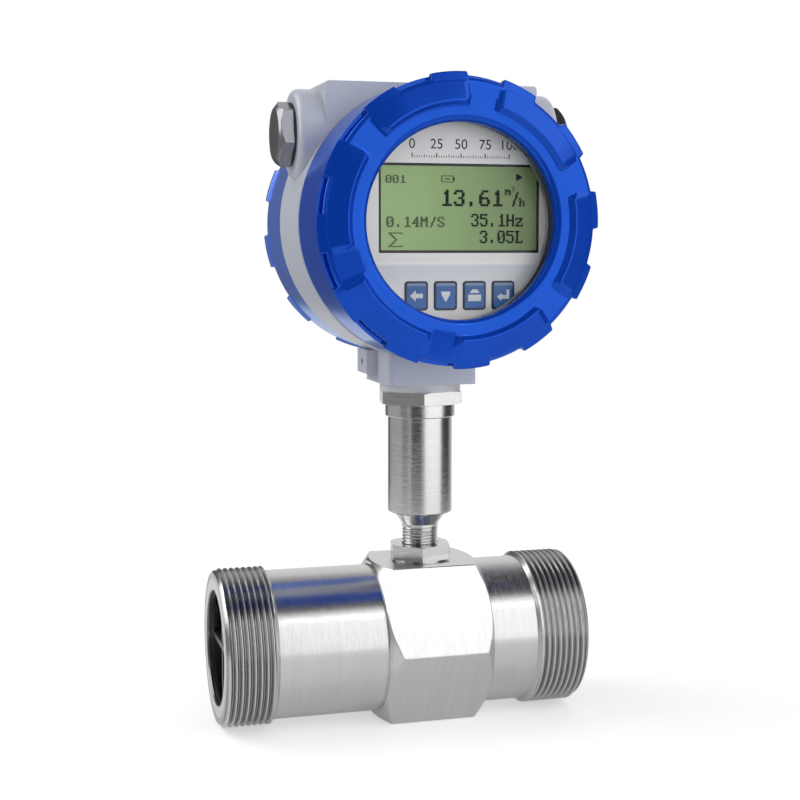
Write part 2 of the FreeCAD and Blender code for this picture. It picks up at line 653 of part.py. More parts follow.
def build_hexagon(label, frame, start, height, flats, bore, turn_both_ends):
    """A hexagonal nut with turned ends."""
    body = new_body(label, frame)
    sketch = new_sketch(body, "YZ_Plane", label + "_outline", lift=start)
    outline(sketch, hexagon_points(flats, "nut_angle"))
    circle(sketch, "0", "0", bore)
    pad(body, sketch, height, label + "_hexagon")
    ends = [(f"{start} + {height}", "-1")] + ([(start, "1")] if turn_both_ends else [])
    for index, (end, direction) in enumerate(ends):
        cone = hexagon_turning(end, direction, flats, "nut_turn_inset", "nut_turn_reach", "nut_turn_outer")
        turned(body, cone, f"{label}_turning_{index}", cut=True)


def build_pickup():
    """Coil, magnet, core and amplifier inside the stem, and the nuts and washers outside it."""
    build_stem()
    ring("pickup_washer", STEM, "0", "lock_washer_thickness", "stem_thread_radius + seat_gap",
         "lock_washer_radius")
    build_hexagon("pickup_lock_nut", STEM, "lock_washer_thickness", "lock_nut_height", "lock_nut_flats",
                  "stem_thread_radius + seat_gap", False)
    coil_start = "(0 - stem_engagement + pickup_floor)"
    ring("pickup_core", STEM, coil_start, "coil_length", "0", "core_radius")
    ring("pickup_coil", STEM, coil_start, "coil_length", "core_radius + seat_gap",
         "pickup_bore_radius - coil_gap")
    ring("pickup_magnet", STEM, f"{coil_start} + coil_length", "magnet_length", "0",
         "pickup_bore_radius - coil_gap")
    board = doc.addObject("Part::Box", "preamp_board")
    board.Label = "preamp_board"
    bind(board, "Length", "amplifier_width")
    bind(board, "Width", "board_thickness")
    bind(board, "Height", "amplifier_length")
    place(board, ("stem_station - amplifier_width / 2", "0 - board_thickness / 2",
                  f"{BLOCK_TOP} + {STEM_SHOULDER} + stem_floor", ALONG_FLOW))
    build_hexagon("head_lock_nut", STEM, STEM_TOP, "head_nut_height", "head_nut_flats",
                  "swivel_radius + seat_gap", True)
    ring("neck_seal", STEM, f"{STEM_TOP} + head_nut_height", "neck_seal_thickness",
         "swivel_radius + seat_gap", "neck_seal_radius")


# ---------------------------------------------------------------- housing

def build_housing():
    """Barrel with two threaded mouths, a saddle with two conduit bosses, and a square neck."""
    body = new_body("housing", BARREL)
    build_housing_outside(body)
    build_housing_bores(body)


def conduit_sketch(body, name):
    """A sketch whose X axis is the axis of the two conduit bosses."""
    sketch = new_sketch(body, "XZ_Plane", name)
    bind(sketch, "AttachmentOffset.Base.y", "conduit_rise")
    return sketch


def build_housing_outside(body):
    """Barrel, saddle, bosses, neck and side lug."""
    barrel = body.newObject("PartDesign::Revolution", "barrel")
    half = "barrel_width / 2"
    profile = new_sketch(body, "XY_Plane", "barrel_outline")
    outline(profile, [
        ("0", f"0 - {half}"), ("barrel_radius - barrel_bevel", f"0 - {half}"),
        ("barrel_radius", f"0 - {half} + barrel_bevel"), ("barrel_radius", f"{half} - barrel_bevel"),
        ("barrel_radius - barrel_bevel", half), ("0", half),
    ])
    barrel.Profile = (profile, [""])
    barrel.ReferenceAxis = (profile, ["V_Axis"])
    saddle = new_sketch(body, "XZ_Plane", "saddle_outline")
    outline(saddle, rounded_box_points("0", "(conduit_rise + saddle_rise) / 2 - boss_radius / 2",
                                       "saddle_width", "saddle_rise - conduit_rise + boss_radius",
                                       "saddle_corner"))
    pad(body, saddle, "barrel_width - 2 * saddle_inset", "saddle", both_ways=True)
    neck = new_sketch(body, "XY_Plane", "neck_outline", lift="0 - neck_drop")
    outline(neck, rounded_box_points("0", "0", "neck_width", "barrel_width", "neck_corner"))
    pad(body, neck, "neck_overlap", "neck")
    lug = new_sketch(body, "XY_Plane", "lug_outline", lift="lug_rise - neck_drop")
    lug_width = "(lug_reach + neck_corner)"
    outline(lug, box_points(f"0 - neck_width / 2 - lug_reach + {lug_width} / 2", "lug_shift",
                            lug_width, "lug_length"))
    pad(body, lug, "lug_height", "lug")
    bosses = body.newObject("PartDesign::Revolution", "bosses")
    section = conduit_sketch(body, "boss_outline")
    crown = f"({BOSS_REACH} - boss_round)"
    outline(section, [
        (f"0 - {BOSS_REACH}", "0"), (f"0 - {BOSS_REACH}", "boss_radius - boss_round", "0 - boss_round"),
        (f"0 - {crown}", "boss_radius"), (crown, "boss_radius", "0 - boss_round"),
        (BOSS_REACH, "boss_radius - boss_round"), (BOSS_REACH, "0"),
    ])
    bosses.Profile = (section, [""])
    bosses.ReferenceAxis = (section, ["H_Axis"])


def build_housing_bores(body):
    """Cover threads and the web between them, conduit holes, swivel socket and the hole in the lug."""
    half = "barrel_width / 2"
    web = f"({half} - cover_thread_depth)"
    mouths = body.newObject("PartDesign::Groove", "mouths")
    profile = new_sketch(body, "XY_Plane", "mouth_outline")
    outline(profile, [
        ("0", f"0 - {half}"), ("cover_thread_radius", f"0 - {half}"), ("cover_thread_radius", f"0 - {web}"),
        (WEB_OPENING, f"0 - {web}"), (WEB_OPENING, web), ("cover_thread_radius", web),
        ("cover_thread_radius", half), ("0", half),
    ])
    mouths.Profile = (profile, [""])
    mouths.ReferenceAxis = (profile, ["V_Axis"])
    conduits = body.newObject("PartDesign::Groove", "conduits")
    section = conduit_sketch(body, "conduit_outline")
    step = f"({BOSS_REACH} - conduit_depth)"
    outline(section, [
        (f"0 - {BOSS_REACH}", "0"), (f"0 - {BOSS_REACH}", "conduit_radius"),
        (f"0 - {step}", "conduit_radius"), (f"0 - {step}", "conduit_way_radius"),
        (step, "conduit_way_radius"), (step, "conduit_radius"),
        (BOSS_REACH, "conduit_radius"), (BOSS_REACH, "0"),
    ])
    conduits.Profile = (section, [""])
    conduits.ReferenceAxis = (section, ["H_Axis"])
    socket = body.newObject("PartDesign::Groove", "swivel_socket")
    bore = new_sketch(body, "XZ_Plane", "socket_outline")
    outline(bore, [
        ("0", "0 - neck_drop"), ("swivel_radius + swivel_play", "0 - neck_drop"),
        ("swivel_radius + swivel_play", "socket_depth - neck_drop"),
        ("wire_radius", "socket_depth - neck_drop"),
        ("wire_radius", f"conduit_way_radius - {WEB_OPENING}"), ("0", f"conduit_way_radius - {WEB_OPENING}"),
    ])
    socket.Profile = (bore, [""])
    socket.ReferenceAxis = (bore, ["V_Axis"])
    for end, lift, thickness, forwards in (("front", web, "frame_flange", False),
                                           ("rear", f"0 - {web}", "board_thickness", True)):
        holes = new_sketch(body, "XZ_Plane", f"{end}_web_hole_outline", lift=lift)
        for angle in WEB_SCREWS:
            circle(holes, f"{WEB_CIRCLE} * cos({angle})", f"{WEB_CIRCLE} * sin({angle})",
                   "small_screw_radius + seat_gap")
        depth = f"small_screw_depth - {thickness} + seat_gap"
        pocket(body, holes, depth, f"{end}_web_holes", forwards=forwards)
    screw = new_sketch(body, "YZ_Plane", "lug_hole_outline", lift="0 - neck_width / 2 - lug_reach")
    circle(screw, "lug_shift", "lug_rise + lug_height / 2 - neck_drop", "lug_screw_radius + seat_gap")
    pocket(body, screw, "lug_screw_inset + lug_screw_length", "lug_hole", forwards=True)


def build_lug_screw():
    """Headless screw in the side lug."""
    frame = ("stem_station - neck_width / 2 - lug_reach", "lug_shift",
             f"{HEAD_AXIS} - neck_drop + lug_rise + lug_height / 2", ALONG_FLOW)
    ring("earth_screw", frame, "lug_screw_inset", "lug_screw_length", "0", "lug_screw_radius")


def build_plug(side, frame):
    """Hexagonal blanking plug and its seal on one conduit boss."""
    ring(f"{side}_plug_seal", frame, "0", "plug_seal_thickness", "conduit_radius + seat_gap",
         "plug_seal_radius")
    body = new_body(f"{side}_plug", frame)
    head = new_sketch(body, "YZ_Plane", f"{side}_plug_outline", lift="plug_seal_thickness")
    outline(head, hexagon_points("plug_flats", "plug_angle"))
    pad(body, head, "plug_head_length", f"{side}_plug_head")
    turned(body, hexagon_turning("plug_seal_thickness + plug_head_length", "-1", "plug_flats",
                                 "plug_turn_inset", "plug_turn_reach", "nut_turn_outer"),
           f"{side}_plug_turning", cut=True)
    turned(body, rectangle_ring("0 - plug_thread_length", "plug_thread_length + plug_seal_thickness",
                                "0", "conduit_radius - seat_gap"), f"{side}_plug_thread")


# ---------------------------------------------------------------- covers

def cover_outside(skirt_length):
    """Outline of a cover from its thread's end round the skirt and over the rim to the lip."""
    groove_start = "0 - seal_groove_start"
    groove_end = "0 - seal_groove_start - seal_groove_width"
    spigot = "cover_thread_radius - spigot_play"
    return [
        ("0 - spigot_length", COVER_BORE), ("0 - spigot_length", spigot),
        (groove_end, spigot), (groove_end, SEAL_FLOOR),
        (groove_start, SEAL_FLOOR), (groove_start, spigot), ("0", spigot),
        ("0", SKIRT_RADIUS), (f"{skirt_length} - notch_length", SKIRT_RADIUS),
        (f"{skirt_length} - notch_length + notch_ramp", CROWN_RADIUS), (skirt_length, CROWN_RADIUS),
        (f"{skirt_length} + rim_bevel_rise", BEVEL_RADIUS),
        (f"{skirt_length} + rim_bevel_rise + face_rise", LIP_RADIUS),
    ]


def cut_notches(body, label, skirt_length, turn):
    """Notches round the rim that leave twelve lugs for a strap wrench."""
    notch = turned(body, [
        (f"{skirt_length} - notch_length", NOTCH_FLOOR),
        (f"{skirt_length} + rim_bevel_rise", NOTCH_FLOOR),
        (f"{skirt_length} + rim_bevel_rise", f"{CROWN_RADIUS} + rim_bevel_rise"),
        (f"{skirt_length} - notch_length", f"{CROWN_RADIUS} + rim_bevel_rise"),
    ], f"{label}_notch", cut=True, sweep="notch_angle", roll=f"notch_start_angle + {turn}")
    repeat_round(body, notch, "notch_count", f"{label}_notches")


def raise_grips(body, label, skirt_length, turn):
    """Raised blocks on the face: a slope from the rim up to a ridge, and a steep inner wall."""
    bevel = f"({skirt_length} + rim_bevel_rise)"
    grip = turned(body, [
        (bevel, BEVEL_RADIUS),
        (f"{bevel} + grip_ridge_rise", RIDGE_RADIUS),
        (f"{bevel} + face_rise", GRIP_FOOT),
        (f"{bevel} - grip_root", GRIP_FOOT),
        (f"{bevel} - grip_root", BEVEL_RADIUS),
    ], f"{label}_grip", sweep="block_angle", roll=f"grip_start_angle + {turn}")
    repeat_round(body, grip, "block_count", f"{label}_grips")


def build_front_cover():
    """Windowed cover: threaded spigot, skirt, lip round the window, notches and grips."""
    body = new_body("front_cover", FRONT)
    rim = "(front_skirt_length + rim_bevel_rise + face_rise)"
    seat = "(front_skirt_length - glass_setback)"
    pocket_floor = f"({seat} - glass_seal_thickness - glass_thickness - clamp_thickness)"
    turned(body, cover_outside("front_skirt_length")[:-1] + [
        (rim, LIP_RADIUS, "0 - lip_arc_radius"), (f"{rim} - lip_edge_drop", "window_radius"),
        (seat, "window_radius"), (seat, GLASS_POCKET),
        (pocket_floor, GLASS_POCKET), (pocket_floor, COVER_BORE),
    ], "front_cover_turning")
    cut_notches(body, "front_cover", "front_skirt_length", "0")
    raise_grips(body, "front_cover", "front_skirt_length", "0")
    stack = pocket_floor
    outer = f"{GLASS_POCKET} - pocket_gap"
    ring("window_retaining_ring", FRONT, stack, "clamp_thickness", "window_radius + clamp_setback", outer)
    ring("window_glass", FRONT, f"{stack} + clamp_thickness", "glass_thickness", "0", outer)
    ring("window_seal", FRONT, f"{stack} + clamp_thickness + glass_thickness", "glass_seal_thickness",
         "window_radius + glass_seal_setback", outer)


def build_rear_cover():
    """Blind cover with the same thread, skirt, notches and grips, and a dished middle."""
    body = new_body("rear_cover", REAR)
    rim = "(rear_skirt_length + rim_bevel_rise + face_rise)"
    turned(body, cover_outside("rear_skirt_length") + [
        (rim, "dish_radius"),
        (f"{rim} - dish_depth", "dish_radius - dish_depth"), (f"{rim} - dish_depth", "0"),
        (f"{rim} - dish_depth - blind_wall", "0"), (f"{rim} - dish_depth - blind_wall", COVER_BORE),
    ], "rear_cover_turning")
    cut_notches(body, "rear_cover", "rear_skirt_length", "rear_turn_angle")
    raise_grips(body, "rear_cover", "rear_skirt_length", "rear_turn_angle")


def build_cover_seal(label, frame):
    """Seal in the groove at the root of a cover's thread."""
    ring(label, frame, "0 - seal_groove_start - seal_groove_width + seal_play",
         "seal_groove_width - 2 * seal_play", f"{SEAL_FLOOR} + seal_play",
         "cover_thread_radius - seal_play")


# ---------------------------------------------------------------- display

def screw_group(label, frame, seat, circle_radius, angles):
    """Identical screws as one node: heads on a seat, shanks behind it."""
    body = new_body(label, frame)
    for index, angle in enumerate(angles):
        u, v = f"{circle_radius} * cos({angle})", f"{circle_radius} * sin({angle})"
        head = new_sketch(body, "YZ_Plane", f"{label}_head_{index}", lift=seat)
        circle(head, u, v, "small_head_radius")
        pad(body, head, "small_head_height", f"{label}_head_pad_{index}")
        shank = new_sketch(body, "YZ_Plane", f"{label}_shank_{index}", lift=f"{seat} - small_screw_depth")
        circle(shank, u, v, "small_screw_radius")
        pad(body, shank, "small_screw_depth", f"{label}_shank_pad_{index}")
    return body


def screw_holes(body, seat, depth, circle_radius, angles, name):
    """Holes for a group of screws, cut from a seat inwards."""
    holes = new_sketch(body, "YZ_Plane", name + "_outline", lift=seat)
    for angle in angles:
        circle(holes, f"{circle_radius} * cos({angle})", f"{circle_radius} * sin({angle})",
               "small_screw_radius + seat_gap")
    pocket(body, holes, depth, name)


BOARD_SCREWS = ["upper_screw_angle", "180 - upper_screw_angle", "180 + lower_screw_angle",
                "360 - lower_screw_angle"]
WEB_SCREWS = ["web_screw_angle", "180 - web_screw_angle", "180 + web_screw_angle", "360 - web_screw_angle"]
BOARD_BACK = "(board_reach - board_thickness)"
FACEPLATE_BACK = "(faceplate_reach - faceplate_thickness)"
KEY_NAMES = ["key_left", "key_down", "key_up", "key_enter"]
FIRST_KEY = "display_shift - 1.5 * key_spacing"


def build_display_frame():
    """Drum on a flange that is screwed to the housing's web and carries the display board."""
    body = new_body("display_frame", FRONT)
    floor = f"({WEB_FACE} + frame_flange)"
    turned(body, [
        (WEB_FACE, "frame_wire_radius"), (WEB_FACE, FLANGE_RADIUS), (floor, FLANGE_RADIUS),
        (floor, DRUM_RADIUS), (BOARD_BACK, DRUM_RADIUS), (BOARD_BACK, f"{DRUM_RADIUS} - frame_wall"),
        (floor, f"{DRUM_RADIUS} - frame_wall"), (floor, "frame_wire_radius"),
    ], "frame_drum")
    screw_holes(body, BOARD_BACK, "small_screw_depth", BOARD_CIRCLE, BOARD_SCREWS, "frame_rim_holes")
    screw_holes(body, floor, "frame_flange", WEB_CIRCLE, WEB_SCREWS, "frame_web_holes")
    screw_group("frame_screws", FRONT, floor, WEB_CIRCLE, WEB_SCREWS)


def build_display_board():
    """Round circuit board with its screws and the four key switches."""
    body = new_body("display_board", FRONT)
    turned(body, rectangle_ring(BOARD_BACK, "board_thickness", "0",
                                f"{FACEPLATE_RADIUS} - faceplate_wall - board_gap"), "display_board_disc")
    screw_holes(body, "board_reach", "board_thickness", BOARD_CIRCLE, BOARD_SCREWS, "board_holes")
    screw_group("board_screws", FRONT, "board_reach", BOARD_CIRCLE, BOARD_SCREWS)
    switches = new_body("key_switches", FRONT)
    for index in range(len(KEY_NAMES)):
        sketch = new_sketch(switches, "YZ_Plane", f"switch_outline_{index}", lift="board_reach")
        outline(sketch, box_points(f"({FIRST_KEY} + {index} * key_spacing)", "(0 - key_drop)",
                                   "switch_side", "switch_side"))
        pad(switches, sketch, "switch_height", f"switch_{index}")


def build_screen():
    """Liquid crystal screen: a plate behind the faceplate and a glass that fills its window."""
    body = new_body("lcd_panel", FRONT)
    plate = new_sketch(body, "YZ_Plane", "plate_outline", lift="board_reach")
    outline(plate, box_points("display_shift", "screen_rise", "screen_width + screen_margin",
                              "screen_height + screen_margin"))
    pad(body, plate, f"{FACEPLATE_BACK} - board_reach - seat_gap", "plate")
    glass = new_sketch(body, "YZ_Plane", "screen_outline", lift=f"{FACEPLATE_BACK} - seat_gap")
    outline(glass, box_points("display_shift", "screen_rise", "screen_width", "screen_height"))
    pad(body, glass, "faceplate_thickness - screen_inset", "screen")


def build_faceplate():
    """Round plate with a window for the screen, four key openings and a skirt round the board."""
    body = new_body("display_bezel", FRONT)
    turned(body, [
        (FACEPLATE_BACK, "0"), ("faceplate_reach", "0"), ("faceplate_reach", FACEPLATE_RADIUS),
        ("board_reach", FACEPLATE_RADIUS), ("board_reach", f"{FACEPLATE_RADIUS} - faceplate_wall"),
        (FACEPLATE_BACK, f"{FACEPLATE_RADIUS} - faceplate_wall"),
    ], "faceplate")
    window = new_sketch(body, "YZ_Plane", "screen_window_outline", lift="faceplate_reach")
    outline(window, box_points("display_shift", "screen_rise", "screen_width + 2 * slot_gap",
                               "screen_height + 2 * slot_gap"))
    pocket(body, window, "faceplate_thickness", "screen_window")
    openings = new_sketch(body, "YZ_Plane", "key_opening_outline", lift="faceplate_reach")
    for index in range(len(KEY_NAMES)):
        outline(openings, rounded_box_points(f"({FIRST_KEY} + {index} * key_spacing)", "(0 - key_drop)",
                                             "(key_width + 2 * slot_gap)", "(key_height + 2 * slot_gap)",
                                             "(key_corner + slot_gap)"))
    pocket(body, openings, "faceplate_thickness", "key_openings")


def build_key(label, index):
    """One key: a cap that stands through the faceplate and a flange that keeps it there."""
    body = new_body(label, FRONT)
    across = f"({FIRST_KEY} + {index} * key_spacing)"
    flange_front = f"({FACEPLATE_BACK} - key_backlash)"
    flange_back = f"{flange_front} - key_flange_thickness"
    flange = new_sketch(body, "YZ_Plane", f"{label}_flange_outline", lift=flange_back)
    outline(flange, rounded_box_points(across, "(0 - key_drop)", "(key_width + 2 * key_flange)",
                                       "(key_height + 2 * key_flange)", "(key_corner + key_flange)"))
    pad(body, flange, "key_flange_thickness", f"{label}_flange")
    cap = new_sketch(body, "YZ_Plane", f"{label}_cap_outline", lift=flange_front)
    outline(cap, rounded_box_points(across, "(0 - key_drop)", "key_width", "key_height", "key_corner"))
    pad(body, cap, f"faceplate_reach + key_proud - {flange_front}", f"{label}_cap")


# ---------------------------------------------------------------- terminals and battery

def build_terminals():
    """Terminal board on the web's rear face, with a terminal block and a battery in its cradle."""
    board = new_body("terminal_board", REAR)
    turned(board, rectangle_ring(WEB_FACE, "board_thickness", "0", FLANGE_RADIUS),
           "terminal_board_disc")
    front = f"({WEB_FACE} + board_thickness)"
    screw_holes(board, front, "board_thickness", WEB_CIRCLE, WEB_SCREWS, "terminal_board_holes")
    screw_group("terminal_board_screws", REAR, front, WEB_CIRCLE, WEB_SCREWS)
    build_terminal_block(front)
    build_battery(front)


def terminal_across(index):
    """Place of one terminal along the block."""
    return f"(({index} - (terminal_count - 1) / 2) * terminal_spacing)"


def build_terminal_block(front):
    """Block with a screw well and a wire entry for each terminal."""
    block = new_body("terminal_block", REAR)
    screws = new_body("terminal_screws", REAR)
    sketch = new_sketch(block, "YZ_Plane", "terminal_outline", lift=front)
    outline(sketch, box_points("0", "(0 - terminal_drop)", "terminal_width", "terminal_height"))
    pad(block, sketch, "terminal_depth", "terminal_body")
    top = f"({front} + terminal_depth)"
    wells = new_sketch(block, "YZ_Plane", "well_outline", lift=top)
    entries = new_sketch(block, "XY_Plane", "entry_outline", lift="0 - terminal_drop - terminal_height / 2")
    for index in range(int(number("terminal_count"))):
        across = terminal_across(index)
        circle(wells, across, "0 - terminal_drop + terminal_height / 6", "terminal_screw_radius + seat_gap")
        outline(entries, box_points(f"({front} + terminal_entry_reach)", across,
                                    "terminal_entry_side", "terminal_entry_side"))
        head = new_sketch(screws, "YZ_Plane", f"terminal_screw_outline_{index}",
                          lift=f"{top} - terminal_screw_inset - terminal_screw_length")
        circle(head, across, "0 - terminal_drop + terminal_height / 6", "terminal_screw_radius")
        pad(screws, head, "terminal_screw_length", f"terminal_screw_{index}")
    pocket(block, wells, "terminal_screw_inset + terminal_screw_length", "wells")
    pocket(block, entries, "terminal_entry_depth", "entries", forwards=True)


def build_battery(front):
    """Cylindrical cell lying across the head, in a cradle on the terminal board."""
    cell_axis = f"({front} + cradle_floor + battery_radius + battery_gap)"
    cradle = new_body("battery_cradle", REAR)
    base = new_sketch(cradle, "YZ_Plane", "cradle_outline", lift=front)
    outline(base, box_points("0", "battery_rise", "battery_length + 2 * battery_gap + 2 * cradle_wall",
                             "cradle_width"))
    pad(cradle, base, "cradle_depth", "cradle_base")
    trough = new_sketch(cradle, "XZ_Plane", "trough_outline")
    circle(trough, cell_axis, "battery_rise", "battery_radius + battery_gap")
    cut = pocket(cradle, trough, "battery_length + 2 * battery_gap", "trough")
    cut.SideType = "Symmetric"
    battery = doc.addObject("Part::Cylinder", "battery")
    battery.Label = "battery"
    bind(battery, "Radius", "battery_radius")
    bind(battery, "Height", "battery_length")
    place(battery, ("stem_station - battery_length / 2", f"barrel_width / 2 + {cell_axis}",
                    f"{HEAD_AXIS} + battery_rise", FreeCAD.Rotation(FreeCAD.Vector(0, 1, 0), 90)))


# ---------------------------------------------------------------- build, check and write

def build_all():
    """Every sub-part in turn."""
    fill_sheet()
    build_meter_body()
    build_flow_pieces()
    build_pickup()
    build_housing()
    build_lug_screw()
    build_plug("left", LEFT_BOSS)
    build_plug("right", RIGHT_BOSS)
    build_front_cover()
    build_rear_cover()
    build_cover_seal("front_cover_seal", FRONT)
    build_cover_seal("rear_cover_seal", REAR)
    build_display_frame()
    build_display_board()
    build_screen()
    build_faceplate()
    for index, label in enumerate(KEY_NAMES):
        build_key(label, index)
    build_terminals()
    doc.recompute()


def check_all():
    """Stop if an object failed or a sub-part has no valid shape."""
    for item in doc.Objects:
        if "Invalid" in item.State or "Error" in item.State:
            raise RuntimeError(f"{item.Label} failed: {item.State}")
    for piece in pieces:
        if piece.Shape.isNull() or not piece.Shape.isValid() or not piece.Shape.Solids:
            raise RuntimeError(f"{piece.Label} has no valid solid")


def write_all():
    """One STEP file for each sub-part."""
    os.makedirs("parts", exist_ok=True)
    for piece in pieces:
        piece.Shape.exportStep(f"parts/{piece.Label}.step")
        box = piece.Shape.BoundBox
        print(f"{piece.Label:24s} solids {len(piece.Shape.Solids)}  volume {piece.Shape.Volume:10.1f}  "
              f"x {box.XMin:7.2f} {box.XMax:7.2f}  y {box.YMin:7.2f} {box.YMax:7.2f}  "
              f"z {box.ZMin:7.2f} {box.ZMax:7.2f}")


build_all()
check_all()
write_all()
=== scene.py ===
"""Dresses the turbine flow meter: threaded steel tube, stem, painted display head and its readout.

The file is laid out as an add-on. Sizes are in millimetres unless a property says otherwise, and every
finished mesh lies in the frame of the CAD part: +X along the flow, -Y out of the display, +Z up.
"""

import math

import bmesh
import bpy
import numpy as np
from bpy.props import FloatProperty, FloatVectorProperty, IntProperty, PointerProperty, StringProperty
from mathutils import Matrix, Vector


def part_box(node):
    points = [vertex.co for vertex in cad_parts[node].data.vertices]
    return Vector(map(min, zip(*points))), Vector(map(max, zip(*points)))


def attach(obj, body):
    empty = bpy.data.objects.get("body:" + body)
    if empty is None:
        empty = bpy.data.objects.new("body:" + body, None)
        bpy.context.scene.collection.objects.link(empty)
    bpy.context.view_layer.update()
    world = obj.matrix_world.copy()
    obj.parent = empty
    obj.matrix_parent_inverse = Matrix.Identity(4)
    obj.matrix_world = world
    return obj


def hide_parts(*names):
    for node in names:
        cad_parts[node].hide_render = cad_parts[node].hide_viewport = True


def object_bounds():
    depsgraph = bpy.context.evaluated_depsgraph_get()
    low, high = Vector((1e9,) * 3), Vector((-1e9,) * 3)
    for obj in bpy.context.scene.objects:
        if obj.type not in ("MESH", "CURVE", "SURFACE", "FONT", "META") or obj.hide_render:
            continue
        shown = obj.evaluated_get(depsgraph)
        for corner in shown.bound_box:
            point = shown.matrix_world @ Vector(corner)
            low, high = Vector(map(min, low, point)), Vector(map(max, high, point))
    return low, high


bl_info = {
    "name": "Turbine Flow Meter",
    "version": (1, 0, 0),
    "blender": (4, 5, 0),
    "location": "View3D > Sidebar > Flow Meter",
    "description": "Builds the visible surfaces and finishes of a turbine flow meter around its CAD frame",
    "category": "Object",
}

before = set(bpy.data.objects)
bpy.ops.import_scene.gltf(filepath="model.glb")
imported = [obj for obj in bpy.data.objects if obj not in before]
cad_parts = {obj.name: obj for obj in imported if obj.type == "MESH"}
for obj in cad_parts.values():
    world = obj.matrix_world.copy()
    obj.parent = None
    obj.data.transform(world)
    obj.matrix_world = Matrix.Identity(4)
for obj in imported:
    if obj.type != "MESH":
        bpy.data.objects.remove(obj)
CAD_BOX = [list(corner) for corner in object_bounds()]
MM = 0.001
MIDDLE = (0.078, 0.0, 0.09)
FLOOR_RADIUS = 0.43
CAMERA_PLACE, CAMERA_TARGET = (-0.0792, -0.5388, 0.1505), (0.0731, 0.0021, 0.0918)


def box_mm(node):
    """Lowest and highest corner of a CAD node, in millimetres."""
    low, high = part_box(node)
    return np.array(low) / MM, np.array(high) / MM


TUBE_LENGTH = float(box_mm("meter_body")[1][0])
STEM_FOOT = float(box_mm("pickup_stem")[0][2])
HEAD_LOW, HEAD_HIGH = box_mm("front_cover")
HEAD_X = (HEAD_LOW[0] + HEAD_HIGH[0]) / 2
HEAD_Z = (HEAD_LOW[2] + HEAD_HIGH[2]) / 2
SCREEN_LOW, SCREEN_HIGH = box_mm("lcd_panel")
FACEPLATE_FRONT = box_mm("display_bezel")[0][1]
SPIGOT_LENGTH = 9.0
FRONT_SEAT = HEAD_HIGH[1] - SPIGOT_LENGTH
REAR_SEAT = box_mm("rear_cover")[0][1] + SPIGOT_LENGTH


# --- settings

def colour(name, default, description):
    """A colour that a user may change, in linear light."""
    return FloatVectorProperty(name=name, subtype="COLOR", size=3, min=0, max=1, default=default,
                               description=description)


def number(name, default, description):
    """A size in millimetres, an angle in degrees or a strength, as its description says."""
    return FloatProperty(name=name, default=default, min=0.01, unit="NONE", description=description)


class TubeSizes(bpy.types.PropertyGroup):
    """Sizes of the threads and of the turned details on the steel tube and stem."""
    thread_pitch: number("Pipe thread pitch", 2.309, "Advance of a pipe thread in one turn, in millimetres")
    thread_depth: number("Pipe thread depth", 1.48, "Crest to root of the pipe threads, in millimetres")
    thread_chamfer: number("Thread chamfer", 1.5, "Bevel at the mouth of a pipe thread, in millimetres")
    stem_pitch: number("Stem thread pitch", 1.25, "Advance of the stem's thread in one turn, in millimetres")
    stem_depth: number("Stem thread depth", 0.75, "Crest to root of the stem's thread, in millimetres")
    turns_around: IntProperty(name="Facets around", default=144, min=24,
                              description="Number of facets around a turned piece")


class CastingSizes(bpy.types.PropertyGroup):
    """Edge roundings of the painted castings and of the small hardware."""
    cover_edge: number("Cover edge", 0.55, "Rounding of the covers' edges, in millimetres")
    housing_edge: number("Housing edge", 1.3, "Rounding of the housing's edges, in millimetres")
    hardware_edge: number("Hardware edge", 0.22, "Rounding of the plugs' edges, in millimetres")
    grip_draft: number("Grip draft", 2.1, "Half the width of a grip's sloping end, in degrees")
    lug_draft: number("Lug draft", 0.5, "Half the width of a lug's sloping end, in degrees")


class Finishes(bpy.types.PropertyGroup):
    """Colours of the finishes."""
    blue_paint: colour("Blue paint", (0.004, 0.062, 0.55), "Gloss paint of the front cover")
    # painted light: the rear cover has the same blue as the front, painted paler here to stand in for the
    # light on it
    rear_paint_painted_light: colour("Rear paint", (0.12, 0.21, 0.72), "Gloss paint of the rear cover")
    grey_paint: colour("Grey paint", (0.52, 0.55, 0.63), "Powder coat of the housing")
    steel: colour("Steel", (0.66, 0.655, 0.65), "Turned stainless steel")
    plated: colour("Plated steel", (0.27, 0.27, 0.30), "Plated blanking plugs and screws")
    screen: colour("Screen", (0.28, 0.43, 0.16), "Unlit liquid crystal screen")
    faceplate: colour("Faceplate", (0.84, 0.84, 0.85), "Printed plate round the screen")
    key: colour("Keys", (0.006, 0.10, 0.38), "Printed face of the keys")


class Readout(bpy.types.PropertyGroup):
    """What the screen shows."""
    channel: StringProperty(name="Channel", default="001", description="Small number at the top left")
    rate: StringProperty(name="Flow rate", default="13.61", description="Large number")
    speed: StringProperty(name="Speed", default="0.14M/S", description="Speed of the liquid")
    pulses: StringProperty(name="Frequency", default="35.1Hz", description="Frequency of the pickup")
    total: StringProperty(name="Total", default="3.05L", description="Volume passed so far")


class Studio(bpy.types.PropertyGroup):
    """Camera and lamps."""
    lens: number("Lens", 65.9, "Focal length, in millimetres")
    key_glow: number("Key lamp", 1.0, "Brightness of the large softbox on the right, 1 being white")
    side_glow: number("Side lamp", 2.2, "Brightness of the softbox high on the left, 1 being white")
    spot_glow: number("Spot", 9.0, "Brightness of the small lamp in the key lamp's middle")
    ambient: number("Ambient light", 0.54, "Strength of the even light from all round")


def settings(group):
    """One of the property groups of the scene."""
    return getattr(bpy.context.scene, "flow_meter_" + group)


def tint_of(name):
    """A colour of the settings as a plain tuple."""
    return tuple(getattr(settings("finishes"), name))


def add_item(name, data):
    """A new object of the scene that shows a mesh, a curve, a lamp or a camera."""
    item = bpy.data.objects.new(name, data)
    bpy.context.scene.collection.objects.link(item)
    return item


# --- shader expressions

